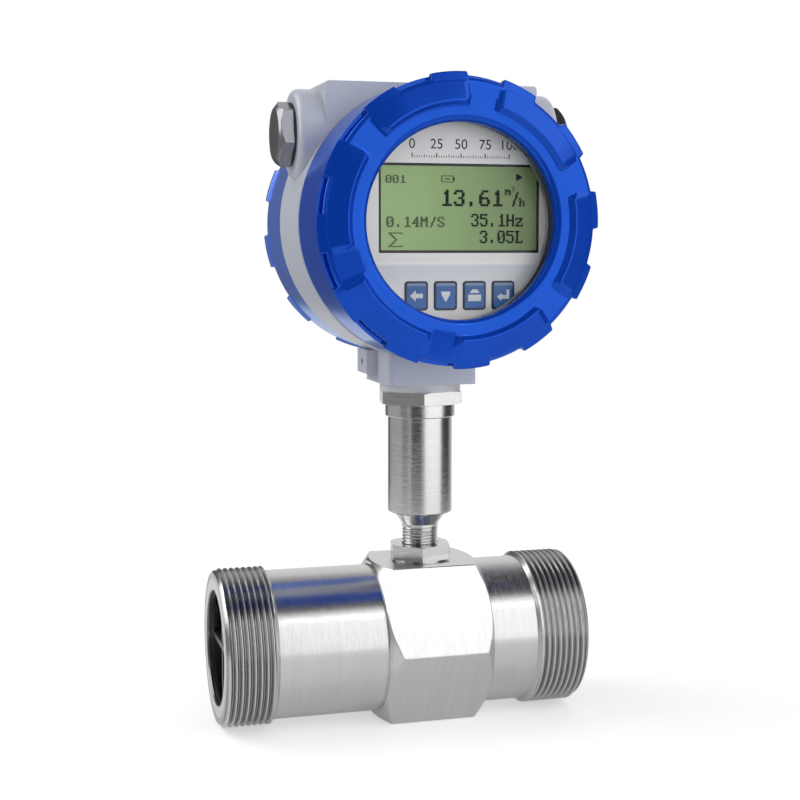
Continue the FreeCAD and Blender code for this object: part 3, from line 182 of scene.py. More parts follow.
def math_node(tree, operation, operands, clamp=False):
    """The Value of a Math node on operands that are numbers or Values."""
    node = tree.nodes.new("ShaderNodeMath")
    node.operation, node.use_clamp = operation, clamp
    for slot, operand in zip(node.inputs, operands):
        if isinstance(operand, Value):
            tree.links.new(operand.socket, slot)
        else:
            slot.default_value = operand
    return Value(tree, node.outputs[0])


def overloaded(operation):
    """An operator on a Value, and its reflected form."""
    return (lambda value, other: math_node(value.tree, operation, (value, other)),
            lambda value, other: math_node(value.tree, operation, (other, value)))


class Value:
    """A number socket of a node tree. Arithmetic on it adds the Math nodes."""
    __add__, __radd__ = overloaded("ADD")
    __sub__, __rsub__ = overloaded("SUBTRACT")
    __mul__, __rmul__ = overloaded("MULTIPLY")
    __truediv__, __rtruediv__ = overloaded("DIVIDE")
    __pow__, __rpow__ = overloaded("POWER")
    __lt__, __gt__ = overloaded("LESS_THAN")[0], overloaded("GREATER_THAN")[0]

    def __init__(self, tree, socket):
        self.tree = tree
        self.socket = socket

    def math(self, operation, *others):
        """A Math node on this value and the others."""
        return math_node(self.tree, operation, (self, *others))

    def __abs__(self):
        return self.math("ABSOLUTE")

    def at_least(self, other):
        return self.math("MAXIMUM", other)

    def clamped(self):
        return math_node(self.tree, "ADD", (self, 0.0), clamp=True)


class Nodes:
    """Lays the nodes of a tree."""

    def __init__(self, tree):
        self.tree = tree

    def node(self, kind, settings=None, **inputs):
        """Any node: its settings first, then the values or links of its sockets. A socket goes by its
        name, or by i and its number."""
        node = self.tree.nodes.new(kind)
        for key, value in (settings or {}).items():
            setattr(node, key, value)
        for key, value in inputs.items():
            numbered = key[0] == "i" and key[1:].isdigit()
            self.feed(node.inputs[int(key[1:]) if numbered else key.replace("_", " ")], value)
        return node

    def feed(self, socket, value):
        """Link a Value or a socket, or set a constant."""
        if isinstance(value, Value):
            value = value.socket
        if isinstance(value, bpy.types.NodeSocket):
            self.tree.links.new(value, socket)
        else:
            socket.default_value = value

    def values(self, sockets):
        """Sockets as Values."""
        return [Value(self.tree, socket) for socket in sockets]

    def rays(self):
        """1 on what the camera sees, straight or through glass, and 1 on what gloss shows."""
        path = self.node("ShaderNodeLightPath").outputs
        seen, through, gloss = self.values(
            (path["Is Camera Ray"], path["Is Transmission Ray"], path["Is Glossy Ray"]))
        return seen.at_least(through), gloss


class Finish(Nodes):
    """A material while its nodes are being laid: one Principled shader and what feeds it."""

    def __init__(self, name, **constants):
        self.material = bpy.data.materials.new(name)
        self.material.use_nodes = True
        super().__init__(self.material.node_tree)
        self.shader = next(node for node in self.tree.nodes if node.type == "BSDF_PRINCIPLED")
        self.set(**constants)

    def set(self, **values):
        """Constants, Values or sockets for the shader's own sockets."""
        for socket, value in values.items():
            self.feed(self.shader.inputs[socket.replace("_", " ")], value)

    def place(self):
        """Object coordinates and their three parts, in millimetres."""
        place = self.node("ShaderNodeTexCoord").outputs["Object"]
        scaled = self.node("ShaderNodeVectorMath", {"operation": "SCALE"}, i0=place, Scale=1 / MM).outputs[0]
        return scaled, self.values(self.node("ShaderNodeSeparateXYZ", i0=scaled).outputs)

    def noise(self, vector, scale, detail=2.0, roughness=0.5, stretch=(1, 1, 1)):
        """Noise of a place in millimetres, about 0.5 on average; scale is in waves a millimetre."""
        if stretch != (1, 1, 1):
            vector = self.node("ShaderNodeMapping", i0=vector, Scale=stretch).outputs[0]
        node = self.node("ShaderNodeTexNoise", {"noise_dimensions": "3D"}, Vector=vector, Scale=scale,
                         Detail=detail, Roughness=roughness)
        return Value(self.tree, node.outputs[0])

    def mix(self, share, first, second):
        """A colour between two colours."""
        first, second = ((*tint, 1) if isinstance(tint, tuple) else tint for tint in (first, second))
        return self.node("ShaderNodeMix", {"data_type": "RGBA"}, i0=share, i6=first, i7=second).outputs[2]

    def coat(self, tint, roughness=None, bump=None):
        """Feed the base colour, the roughness and a bump, which is a height, its depth in millimetres
        and its strength, and give the finished material."""
        self.set(Base_Color=tint)
        if roughness is not None:
            self.set(Roughness=roughness)
        if bump:
            height, depth, strength = bump
            node = self.node("ShaderNodeBump", Strength=strength, Distance=depth * MM, Height=height)
            self.set(Normal=node.outputs[0])
        return self.material


def shade(tint, factor):
    """A colour made darker or lighter."""
    return tuple(min(1.0, part * factor) for part in tint)


# --- finishes

def turned_steel(name, axis, tint, base_roughness=0.2, painted_shade=None, marks_depth=0.03):
    """Steel off the lathe: fine tool marks that run round the axis, and faint handling marks. The painted
    shade argument takes the three parts of a place, and gives how far painted shade darkens the steel there."""
    finish = Finish(name, Metallic=1.0)
    place, parts = finish.place()
    along = tuple(1.0 if index == axis else 0.02 for index in range(3))
    marks = finish.noise(place, 6.0, 3.0, 0.6, along)
    bands = finish.noise(place, 0.7, 2.0, 0.5, along)
    clouds = finish.noise(place, 0.09, 2.0)
    base = finish.mix(marks * 0.55 + bands * 0.45, shade(tint, 0.86), shade(tint, 1.13))
    if painted_shade:
        # painted shade: the steel darkens towards shade(tint, 0.17) wherever the painted shade mask says
        base = finish.mix(painted_shade(*parts), base, shade(tint, 0.17))
    roughness = marks * 0.10 + bands * 0.05 + clouds * 0.08 + (base_roughness - 0.11)
    return finish.coat(base, roughness, (marks, marks_depth, 0.8))


def tube_painted_shade(along, across, up):
    """Painted shade in the roots of the pipe threads, and over the whole inside of the bore."""
    radius = (across * across + up * up) ** 0.5
    threads = (along < INLET_THREAD) + (along > TUBE_LENGTH - OUTLET_THREAD)
    # painted shade: darker the deeper a point lies in a thread's root, and darker all over the bore
    roots = ((THREAD_RADIUS - 0.25 - radius) / 1.1).clamped() * (radius > 26.0) * threads.clamped()
    return (roots * 0.6 + (radius < 22.0) * 0.8).clamped()


def grained(name, tint, waves, spread, roughness, bump=None, **constants):
    """One colour with grain in it. A wave is the scale, detail and roughness of a noise, its share in
    the shade and what it adds to the roughness. Spread is the darkest and the palest factor of the
    shade. Bump is the number of the wave that lifts the surface, with its depth and strength."""
    finish = Finish(name, **constants)
    place, _ = finish.place()
    noises = [finish.noise(place, *wave[:3]) for wave in waves]
    shades, roughs = (sum(noise * wave[part] for noise, wave in zip(noises, waves) if wave[part])
                      for part in (3, 4))
    return finish.coat(finish.mix(shades, shade(tint, spread[0]), shade(tint, spread[1])),
                       roughs + roughness, bump and (noises[bump[0]], *bump[1:]))


def ground_steel(name, tint, roughness=0.2):
    """Plain steel parts: fine scratches in all directions."""
    return grained(name, tint, ((9.0, 4.0, 0.7, 0.5, 0.12), (0.4, 2.0, 0.5, 0.5, 0.08)), (0.85, 1.12),
                   roughness - 0.1, (0, 0.004, 0.3), Metallic=1.0)


def gloss_paint(name, tint):
    """Sprayed gloss enamel over a casting: slight orange peel and a shade that drifts a little."""
    return grained(name, tint, ((0.05, 2.0, 0.5, 0.7, 0), (7.0, 2.0, 0.5, 0.3, 0.08), (0.9, 2.0, 0.5, 0, 0)),
                   (0.86, 1.14), 0.10, (2, 0.03, 0.25), Metallic=0.35, Coat_Weight=0.08,
                   Coat_Roughness=0.05, IOR=1.45, Specular_IOR_Level=0.9,
                   Specular_Tint=(0.18, 0.60, 1.0, 1.0))


def powder_coat(name, tint):
    """Powder coat: a fine pebbled skin, satin rather than glossy."""
    return grained(name, tint, ((3.2, 3.0, 0.6, 0.4, 0.14), (0.06, 2.0, 0.5, 0.6, 0)), (0.93, 1.06), 0.33,
                   (0, 0.045, 0.45), Coat_Weight=0.25, Coat_Roughness=0.2, IOR=1.5)


def moulded(name, tint, roughness=0.45, grain=4.0, depth=0.02, spread=0.12):
    """Moulded plastic or rubber: fine grain in the surface and in the shade."""
    return grained(name, tint, ((grain, 3.0, 0.6, 0.5, 0.12), (0.12, 2.0, 0.5, 0.5, 0)),
                   (1 - spread, 1 + spread), roughness - 0.06, (0, depth, 0.5))


def ink(name, tint):
    """Printed or driven marks: one colour with a slightly uneven edge to its shade."""
    return grained(name, tint, ((4.0, 2.0, 0.5, 1.0, 0.1),), (0.8, 1.2), 0.45, Specular_IOR_Level=0.2)


def circuit_board(name, tint):
    """Solder mask over copper: pale pads on a grid and thin tracks between them."""
    finish = Finish(name, IOR=1.5, Coat_Weight=0.3, Coat_Roughness=0.15)
    place, (across, _, up) = finish.place()
    cells = [abs((part / 2.54).math("FRACT") - 0.5) for part in (across, up)]
    pads = (cells[0].at_least(cells[1])) < 0.13
    tracks = (cells[0] < 0.04) * (finish.noise(place, 0.18, 1.0) > 0.5)
    base = finish.mix(finish.noise(place, 2.0, 2.0), shade(tint, 0.8), shade(tint, 1.2))
    base = finish.mix(tracks, base, shade(tint, 2.2))
    return finish.coat(finish.mix(pads, base, (0.62, 0.60, 0.52)), 0.42 - pads * 0.15,
                       (tracks + pads, 0.03, 0.5))


def copper_winding(name, tint):
    """Enamelled wire wound round the stem's axis, with painted shade in the grooves between the turns."""
    finish = Finish(name, Metallic=0.9)
    _, (_, _, up) = finish.place()
    wires = (up / 0.3 * (2 * math.pi)).math("SINE") * 0.5 + 0.5
    # painted shade: the colour darkens to 0.55 of the wire's between the turns
    return finish.coat(finish.mix(wires, shade(tint, 0.55), tint), 0.45 - wires * 0.15, (wires, 0.08, 1.0))


def window_glass(name):
    """Clear toughened glass, with the faint smears of a wiped pane."""
    finish = Finish(name, IOR=1.45, Base_Color=(0.02, 0.025, 0.025, 1.0))
    place, _ = finish.place()
    smears = finish.noise(place, 0.08, 3.0, 0.6, (1, 1, 0.35))
    finish.set(Alpha=smears * 0.04 + 0.03, Roughness=smears * 0.04 + 0.02)
    return finish.material


def printed_plate(name, tint):
    """Silver-white printed sheet: a satin sheen with a fine grain, a soft raised band above the keys with a
    painted highlight along it, and painted shade below it.
    """
    finish = Finish(name, IOR=1.45, Metallic=0.15)
    place, (_, _, up) = finish.place()
    grain = finish.noise(place, 5.0, 2.0, 0.6)
    drift = finish.noise(place, 0.07, 1.0)
    height = up - HEAD_Z
    # painted highlight: a pale line along the raised band above the keys, which the bump also lifts
    ledge_highlight = (1 - abs(height + 14.6) * 1.4).clamped()
    # painted shade: blue-grey shade from that band down behind the keys
    below = ((-14.6 - height) * 0.8).clamped() * (1 - ((-14.6 - height) * 0.09).clamped())
    base = finish.mix(grain * 0.4 + drift * 0.6, shade(tint, 0.94), shade(tint, 1.05))
    base = finish.mix(below * 0.55, base, (0.48, 0.55, 0.66))
    return finish.coat(finish.mix(ledge_highlight * 0.8, base, (0.92, 0.93, 0.94)), grain * 0.1 + 0.3,
                       (grain * 0.02 + ledge_highlight, 0.1, 0.6))


def inside_box(parts, middle, half, corner):
    """How far a place lies inside a box with rounded corners."""
    beyond = [(abs(part - float(centre)) - float(reach - corner)).at_least(0.0)
              for part, centre, reach in zip(parts, middle, half)]
    return corner - (beyond[0] * beyond[0] + beyond[1] * beyond[1]) ** 0.5


def liquid_crystal(name, tint):
    """Green reflective screen inside a black line with rounded corners, with painted light: paler to the
    left and darker to the right.
    """
    finish = Finish(name, IOR=1.5, Roughness=0.25)
    place, (across, _, up) = finish.place()
    middle, half = (SCREEN_LOW + SCREEN_HIGH) / 2, (SCREEN_HIGH - SCREEN_LOW) / 2 - 0.3
    border = inside_box((across, up), middle[::2], half[::2], 1.2) < 0.75
    # painted light: the green runs from pale on the left to dark on the right
    share = ((across - float(SCREEN_LOW[0])) / float(SCREEN_HIGH[0] - SCREEN_LOW[0])).clamped()
    drift = (share * 0.9 + finish.noise(place, 0.12, 1.0) * 0.1).clamped()
    base = finish.mix(drift, tuple(part * 1.35 + 0.05 for part in tint), shade(tint, 0.58))
    cells = ((across / 0.45).math("FRACT") > 0.9) + ((up / 0.45).math("FRACT") > 0.9)
    base = finish.mix(cells.clamped() * 0.12, base, shade(tint, 0.7))
    return finish.coat(finish.mix(border, base, (0.008, 0.010, 0.010)))


def key_face(name, tint, centre):
    """One key: a printed blue face inside a dark rounded outline, with painted light: lighter towards the
    bottom, darker towards the top, and a painted highlight band along the top.
    """
    finish = Finish(name, IOR=1.45, Coat_Weight=0.4, Coat_Roughness=0.15)
    place, (across, _, up) = finish.place()
    inside = inside_box((across, up), centre, (4.15, 5.0), 1.3)
    rise = ((up - centre[1]) / 10.0 + 0.5).clamped()
    grain = finish.noise(place, 6.0, 2.0)
    # painted shade: the blue runs from light at the bottom of the key to darker at the top
    face = finish.mix(rise, shade(tint, 1.35), shade(tint, 0.85))
    # painted highlight: a pale band along the top of the key
    face = finish.mix((rise * 6.0 - 4.9).clamped() * 0.75, face, (0.62, 0.74, 0.88))
    face = finish.mix(grain * 0.15, face, (0.3, 0.5, 0.8))
    return finish.coat(finish.mix(inside < 0.62, face, (0.006, 0.022, 0.075)), grain * 0.1 + 0.28,
                       (grain, 0.01, 0.3))


# --- surfaces

def grid_quads(rows, columns, wrap_rows, wrap_columns, seam=None):
    """Quads of a grid of points; a wrapped side joins its last line to its first. Where the rows climb
    like a screw, seam gives the row that each row meets after a full turn."""
    row, column = np.meshgrid(np.arange(rows if wrap_rows else rows - 1),
                              np.arange(columns if wrap_columns else columns - 1), indexing="ij")
    next_row, next_column = (row + 1) % rows, (column + 1) % columns
    met, next_met = row, next_row
    if seam is not None:
        last = column == columns - 1
        met, next_met = np.where(last, seam[row], row), np.where(last, seam[next_row], next_row)
    corners = [row * columns + column, next_row * columns + column,
               next_met * columns + next_column, met * columns + next_column]
    return np.stack(corners, axis=-1).reshape(-1, 4)


def turn_outwards(mesh, merge):
    """Faces outwards, and doubles merged where the mesh was laid out with some."""
    shape = bmesh.new()
    shape.from_mesh(mesh)
    if merge:
        bmesh.ops.remove_doubles(shape, verts=shape.verts, dist=1e-7)
        bmesh.ops.dissolve_degenerate(shape, edges=shape.edges, dist=1e-8)
    bmesh.ops.recalc_face_normals(shape, faces=shape.faces)
    shape.to_mesh(mesh)
    shape.free()


def new_piece(name, points, faces, material, body, sharp=30.0, merge=True):
    """A closed mesh piece from points in millimetres, with sharp edges above an angle."""
    mesh = bpy.data.meshes.new(name)
    corners = np.asarray(points, float).reshape(-1, 3) * MM
    mesh.from_pydata(corners.tolist(), [], faces if isinstance(faces, list) else faces.tolist())
    turn_outwards(mesh, merge)
    piece = add_item(name, mesh)
    finish_piece(piece, material, body, sharp)
    return piece


def finish_piece(piece, material, body, sharp):
    """Material, smooth shading that keeps flats flat and edges sharp, and the body that carries it."""
    piece.data.materials.clear()
    piece.data.materials.append(material)
    piece.data.polygons.foreach_set("use_smooth", np.ones(len(piece.data.polygons), bool))
    piece.data.set_sharp_from_angle(angle=math.radians(sharp))
    normals = piece.modifiers.new("normals", "WEIGHTED_NORMAL")
    normals.mode = "FACE_AREA"
    normals.keep_sharp = True
    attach(piece, body)


def evaluated_mesh(item, name):
    """The mesh of an object as its modifiers or its curve make it."""
    bpy.context.view_layer.update()
    mesh = bpy.data.meshes.new_from_object(item.evaluated_get(bpy.context.evaluated_depsgraph_get()))
    mesh.name = name
    return mesh


def around(origin, axis, start, along, radius, angles):
    """Points origin + along * axis + radius * (cos(angle) * start + sin(angle) * (axis x start))."""
    axis, start = np.array(axis, float), np.array(start, float)
    side = np.cross(axis, start)
    rim = np.cos(angles)[..., None] * start + np.sin(angles)[..., None] * side
    return np.array(origin, float) + along[..., None] * axis + radius[..., None] * rim


def rounded_profile(points, radii, steps):
    """A closed profile with each corner replaced by a curve: (1-t)^2 a + 2t(1-t) corner + t^2 b,
    where a and b lie on the two sides, a radius away from the corner or less on a short side."""
    corner = np.array(points, float)
    before, after = np.roll(corner, 1, axis=0) - corner, np.roll(corner, -1, axis=0) - corner
    reach = np.array(radii, float)[:, None]
    lengths = [np.linalg.norm(side, axis=1, keepdims=True) for side in (before, after)]
    ends = [corner + side / np.maximum(length, 1e-9) * np.minimum(reach, 0.45 * length)
            for side, length in zip((before, after), lengths)]
    t = np.linspace(0, 1, steps)[None, :, None]
    curve = (1 - t) ** 2 * ends[0][:, None] + 2 * t * (1 - t) * corner[:, None] + t ** 2 * ends[1][:, None]
    return curve.reshape(-1, 2)


def smooth_step(value):
    """0 below 0, 1 above 1, and 3v^2 - 2v^3 between."""
    value = np.clip(value, 0, 1)
    return value * value * (3 - 2 * value)


THREAD_STEPS = (0.0, 0.09, 0.18, 0.31, 0.44, 0.56, 0.69, 0.82, 0.91)


def thread_depth(turns):
    """Depth of a thread, 0 on the crest and 1 at the root, for a count of turns: flanks that are
    straight lines between a narrow rounded crest and a narrow rounded root."""
    away = np.abs((turns + 0.5) % 1.0 - 0.5) * 2
    return smooth_step((away - 0.1) / 0.8) * 0.3 + np.clip((away - 0.14) / 0.72, 0, 1) * 0.7


def screw_rows(start, end, pitch, angles):
    """Stations of rows that climb with a thread: along = station + pitch * angle / 2 pi, kept between
    start and end. The rows after a full turn meet the rows one pitch further on."""
    turns = np.arange(math.floor(start / pitch) - 1, math.ceil(end / pitch) + 1)
    stations = (turns[:, None] + np.array(THREAD_STEPS)[None, :]).ravel() * pitch
    along = np.clip(stations[:, None] + pitch * angles[None, :] / (2 * math.pi), start, end)
    seam = np.minimum(np.arange(len(stations)) + len(THREAD_STEPS), len(stations) - 1)
    return along, seam


def even_angles(count, extra=()):
    """Evenly spread angles, with more added, in order and without repeats."""
    angles = np.concatenate([np.linspace(0, 2 * math.pi, count, endpoint=False),
                             np.asarray(extra, float) % (2 * math.pi)])
    angles = np.unique(np.round(angles, 5))
    return angles[np.append(np.diff(angles) > 1e-4, True)]


# --- flow tube and stem

BLOCK_START, BLOCK_LENGTH, BLOCK_APOTHEM = 60.5, 41.0, 30.0
CONE_START, CONE_END, CONE_LENGTH = 29.4, 35.2, 4.6
INLET_THREAD, OUTLET_THREAD = 18.5, 19.5
THREAD_RADIUS, NECK_RADIUS, NECK_RUNOUT = 29.8, 28.1, 1.2
BORE_RADIUS, SEAT_RADIUS, GROOVE_RADIUS = 20.0, 21.5, 22.7
INLET_SEAT, OUTLET_SEAT = 50.0, 36.0
STEM_THREAD, BARREL, COLLAR, SWIVEL = 7.0, 12.35, 13.4, 10.0
WIRE_BORE, BOARD_BORE, COIL_BORE = 8.0, 10.6, 5.2
NUT_TURN = math.radians(49)


def hexagon_radius(angles, apothem, turn=0.0, blunt=0.12):
    """Distance from the axis to a hexagon's side, with its corners turned off by a hair."""
    inside = ((angles - turn) % (math.pi / 3)) - math.pi / 6
    return np.minimum(apothem / np.cos(inside), apothem / math.cos(math.pi / 6) - blunt)


def hexagon_angles(count, turn=0.0):
    """Even angles, with more of them beside a hexagon's corners."""
    beside = np.array([-1.6, -0.6, -0.25, 0.25, 0.6, 1.6])
    return even_angles(count, (np.radians(np.arange(0, 360, 60)[:, None] + beside) + turn).ravel())


def steel_piece(name, node, parts, angles, origin, axis, start, material, sharp, closed=True):
    """A steel piece laid from rows round an axis, in place of a CAD node. A part is a list of rows, or
    a screw's rows with their seam. A row is a station and a radius, each a number or one per angle."""
    along, radius, seam, count = [], [], [], 0
    for part in parts:
        if isinstance(part, list):
            rows = np.array([np.broadcast_arrays(*row, angles)[:2] for row in part])
            part = rows[:, 0], rows[:, 1], np.arange(len(part))
        along.append(part[0])
        radius.append(part[1])
        seam.append(part[2] + count)
        count += len(part[0])
    points = around(origin, axis, start, np.concatenate(along), np.concatenate(radius), angles)
    piece = new_piece(name, points, grid_quads(count, len(angles), closed, True, np.concatenate(seam)),
                      material, "meter_run", sharp)
    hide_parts(node)


def lock_nut(node, apothem, bore, cones, material):
    """A nut: the smaller of a hexagon and of the cones turned at its ends. A cone is the radius at the
    end and the rise of the radius per millimetre, or None where the end is left square."""
    low, high = box_mm(node)
    angles = hexagon_angles(72, NUT_TURN)
    side = hexagon_radius(angles, apothem, NUT_TURN, 0.06)
    rows = [(low[2], bore)]
    for station, sign, cone in ((low[2], 1, cones[0]), (high[2], -1, cones[1])):
        rim = np.minimum(cone[0], side) if cone else side
        depth = (side - rim) / cone[1] if cone else 0
        rows += [(station, rim), (station + sign * (depth + 0.02), side)][::sign]
    rows.append((high[2], bore))
    steel_piece(node + "_dressed", node, [rows], angles, ((low[0] + high[0]) / 2, (low[1] + high[1]) / 2, 0),
                (0, 0, 1), (0, 1, 0), material, 14.0)


def pipe_thread(angles, sizes, start, end, mouth):
    """Rows of a pipe thread: radius = crest - depth * thread, faded out away from the mouth, and cut
    by the cone of the mouth's chamfer."""
    along, seam = screw_rows(start, end, sizes.thread_pitch, angles)
    inward = np.abs(along - mouth)
    fade = smooth_step((end - start - inward) / (0.35 * sizes.thread_pitch))
    depth = thread_depth(along / sizes.thread_pitch - angles / (2 * math.pi))
    radius = THREAD_RADIUS - sizes.thread_depth * depth * fade
    return along, np.minimum(radius, THREAD_RADIUS - sizes.thread_chamfer + inward), seam


def tube_block(angles):
    """Rows of the neck, the hexagonal block and the other neck. The block is the smaller of the hexagon
    and the turned cones, with a row exactly where the two meet."""
    neck = [(BLOCK_START - 0.3, NECK_RADIUS), (BLOCK_START - 0.1, NECK_RADIUS + 0.05),
            (BLOCK_START, NECK_RADIUS + 0.3), (BLOCK_START, CONE_START - 0.2)]
    block_end = BLOCK_START + BLOCK_LENGTH
    side = hexagon_radius(angles, BLOCK_APOTHEM)
    reach = (side - CONE_START) / (CONE_END - CONE_START) * CONE_LENGTH
    cone = [(reach * share, CONE_START + (side - CONE_START) * share) for share in (0.03, 0.35, 0.7, 0.97)]
    first, last = BLOCK_START + reach + 0.12, block_end - reach - 0.12
    sides = [(first + (last - first) * share, side) for share in (0.0, 0.25, 0.5, 0.75, 1.0)]
    return (neck + [(BLOCK_START + along, radius) for along, radius in cone] + sides
            + [(block_end - along, radius) for along, radius in reversed(cone)]
            + [(BLOCK_START + block_end - along, radius) for along, radius in reversed(neck)])


def tube_bores():
    """Rows of the bores, from the outlet face back to the inlet face."""
    mouth = [(0, SEAT_RADIUS + 0.5), (0.5, SEAT_RADIUS), (1.4, SEAT_RADIUS), (1.4, GROOVE_RADIUS),
             (2.7, GROOVE_RADIUS), (2.7, SEAT_RADIUS)]
    seats = [(TUBE_LENGTH - OUTLET_SEAT, SEAT_RADIUS), (TUBE_LENGTH - OUTLET_SEAT, BORE_RADIUS),
             (INLET_SEAT, BORE_RADIUS), (INLET_SEAT, SEAT_RADIUS)]
    profile = [(TUBE_LENGTH - along, radius) for along, radius in mouth] + seats + mouth[::-1]
    outside = [(0, NECK_RADIUS), (TUBE_LENGTH, NECK_RADIUS)]
    return list(rounded_profile(outside + profile, [0, 0] + [0.08] * len(profile), 2)[4:])


class FLOWMETER_OT_flow_tube(bpy.types.Operator):
    """The steel tube with its two pipe threads, its hexagonal block and its bores"""
    bl_idname = "flowmeter.flow_tube"
    bl_label = "Flow Tube"

    def execute(self, context):
        sizes = settings("tube")
        angles = hexagon_angles(sizes.turns_around)
        thread_end = TUBE_LENGTH - OUTLET_THREAD
        parts = [pipe_thread(angles, sizes, 0.0, INLET_THREAD, 0.0),
                 [(INLET_THREAD + NECK_RUNOUT, NECK_RADIUS)], tube_block(angles),
                 [(thread_end - NECK_RUNOUT, NECK_RADIUS)],
                 pipe_thread(angles, sizes, thread_end, TUBE_LENGTH, TUBE_LENGTH), tube_bores()]
        # the tube's steel carries painted shade in its thread roots and its bore
        steel = turned_steel("tube_steel", 0, tint_of("steel"), painted_shade=tube_painted_shade, marks_depth=0.06)
        steel_piece("flow_tube", "meter_body", parts, angles, (0, 0, 0), (1, 0, 0), (0, 1, 0), steel, 24.0)
        return {"FINISHED"}


class FLOWMETER_OT_stem(bpy.types.Operator):
    """The stem: threaded tip, cone, barrel, collar and the top that goes into the head"""
    bl_idname = "flowmeter.stem"
    bl_label = "Stem"

    def execute(self, context):
        sizes = settings("tube")
        angles = np.linspace(0, 2 * math.pi, 96, endpoint=False)
        tip, thread_end = -7.0, 14.0
        screw, seam = screw_rows(tip + 0.6, thread_end - 0.8, sizes.stem_pitch, angles)
        fade = smooth_step((thread_end - 0.8 - screw) / sizes.stem_pitch)
        depth = thread_depth(screw / sizes.stem_pitch - angles / (2 * math.pi))
        foot = [(tip, 0.0), (tip, STEM_THREAD - 1)]
        outside = [(thread_end, STEM_THREAD), (thread_end + 0.2, STEM_THREAD + 0.15), (18.3, 9.85),
                   (18.5, 10.1), (18.5, 11.6), (18.62, BARREL - 0.5), (19.1, BARREL - 0.05), (19.3, BARREL),
                   (55.8, BARREL), (56.0, BARREL + 0.05), (56.0, COLLAR - 0.3), (56.3, COLLAR),
                   (60.7, COLLAR), (61.0, COLLAR - 0.3), (61.0, SWIVEL + 0.2), (61.2, SWIVEL),
                   (81.5, SWIVEL), (82.0, SWIVEL - 0.5), (82.0, WIRE_BORE)]
        inside = [(56.0, WIRE_BORE), (56.0, BOARD_BORE), (20.5, BOARD_BORE), (20.5, COIL_BORE),
                  (-5.5, COIL_BORE), (-5.5, 0.0)]
        parts = [foot, (screw, STEM_THREAD - sizes.stem_depth * depth * fade, seam), outside, inside]
        steel_piece("stem", "pickup_stem", parts, angles, (HEAD_X, 0, STEM_FOOT - tip), (0, 0, 1),
                    (0, 1, 0), turned_steel("stem_steel", 2, tint_of("steel"), 0.17), 28.0, closed=False)
        return {"FINISHED"}


# --- castings

NOTCHES, NOTCH_ANGLE, NOTCH_START = 12, 15.0, 20.0
GRIPS, GRIP_ANGLE, GRIP_START = 6, 45.0, 50.0


def cover_versions(skirt, face):
    """Corners of a cover's profile as (along, radius): at a lug, in a notch, and through a grip.
    The three lists match corner for corner, so that shares of them can be added up. A notch is a slot
    behind a low lip at the front edge."""
    rim, bevel = skirt, skirt + 1.5
    front = [(0, 44.9), (0, 50.8), (rim - 3.6, 50.8), (rim - 2.8, 51.6), (rim - 0.6, 51.6),
             (rim - 0.3, 51.6), (rim, 51.6), (bevel, 48.3)]
    notch = [(0, 44.9), (0, 50.8), (rim - 3.6, 50.8), (rim - 3.55, 48.2), (rim - 0.5, 48.2),
             (rim - 0.2, 49.5), (rim + 0.75, 49.5), (bevel, 48.3)]
    flat = [(bevel + 0.01 + 1.5 * share, 48.3 - 9.9 * share) for share in (0.06, 0.5, 0.9)]
    raised = [(bevel + 0.1, 48.2), (bevel + 3.4, 41.3), (bevel + 1.6, 39.7)]
    spigot = [(-9, 41), (-9, 44.9), (-3.4, 44.9), (-3.4, 42.8), (-1.1, 42.8), (-1.1, 44.9)]
    return [spigot + front + flat + face, spigot + notch + flat + face, spigot + front + raised + face]


def share_round(angles, count, width, start, draft):
    """1 within each of the evenly spread sectors, 0 outside, with a smooth edge of a draft each way."""
    step = 360.0 / count
    away = np.abs((np.degrees(angles) - start + step / 2) % step - step / 2)
    return smooth_step((width / 2 + draft - away) / (2 * draft))


def cover_angles(sizes, turn):
    """Angles round a cover, closer together at the edges of notches and grips."""
    offsets = np.linspace(-1, 1, 7)
    extra = [start + turn + 360 / count * index + sign * width / 2 + offset * draft
             for count, width, start, draft in ((NOTCHES, NOTCH_ANGLE, NOTCH_START, sizes.lug_draft),
                                                (GRIPS, GRIP_ANGLE, GRIP_START, sizes.grip_draft))
             for index in range(count) for sign in (-1, 1) for offset in offsets]
    return even_angles(144, np.radians(extra))


def build_cover(name, node, seat, axis, start, skirt, turn, face, radii, body, material):
    """A screwed cover: profile = lug + notch share * (notch - lug) + grip share * (grip - lug), carried
    round the barrel's axis."""
    sizes = settings("castings")
    angles = cover_angles(sizes, turn)
    edge = sizes.cover_edge
    rounding = [0.3] * 6 + [0.15, 0.3, 0.2, edge, 0.1, 0.1, edge, edge] + [edge, edge, edge] + radii
    lug, notch, grip = (rounded_profile(points, rounding, 5) for points in cover_versions(skirt, face))
    notches = share_round(angles, NOTCHES, NOTCH_ANGLE, NOTCH_START + turn, sizes.lug_draft)
    grips = share_round(angles, GRIPS, GRIP_ANGLE, GRIP_START + turn, sizes.grip_draft)
    line = (lug[:, None, :] + notches[None, :, None] * (notch - lug)[:, None, :]
            + grips[None, :, None] * (grip - lug)[:, None, :])
    points = around((HEAD_X, seat, HEAD_Z), axis, start, line[..., 0], line[..., 1], angles)
    piece = new_piece(name, points, grid_quads(*line.shape[:2], True, True), material, body,
                      sharp=38.0)
    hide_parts(node)


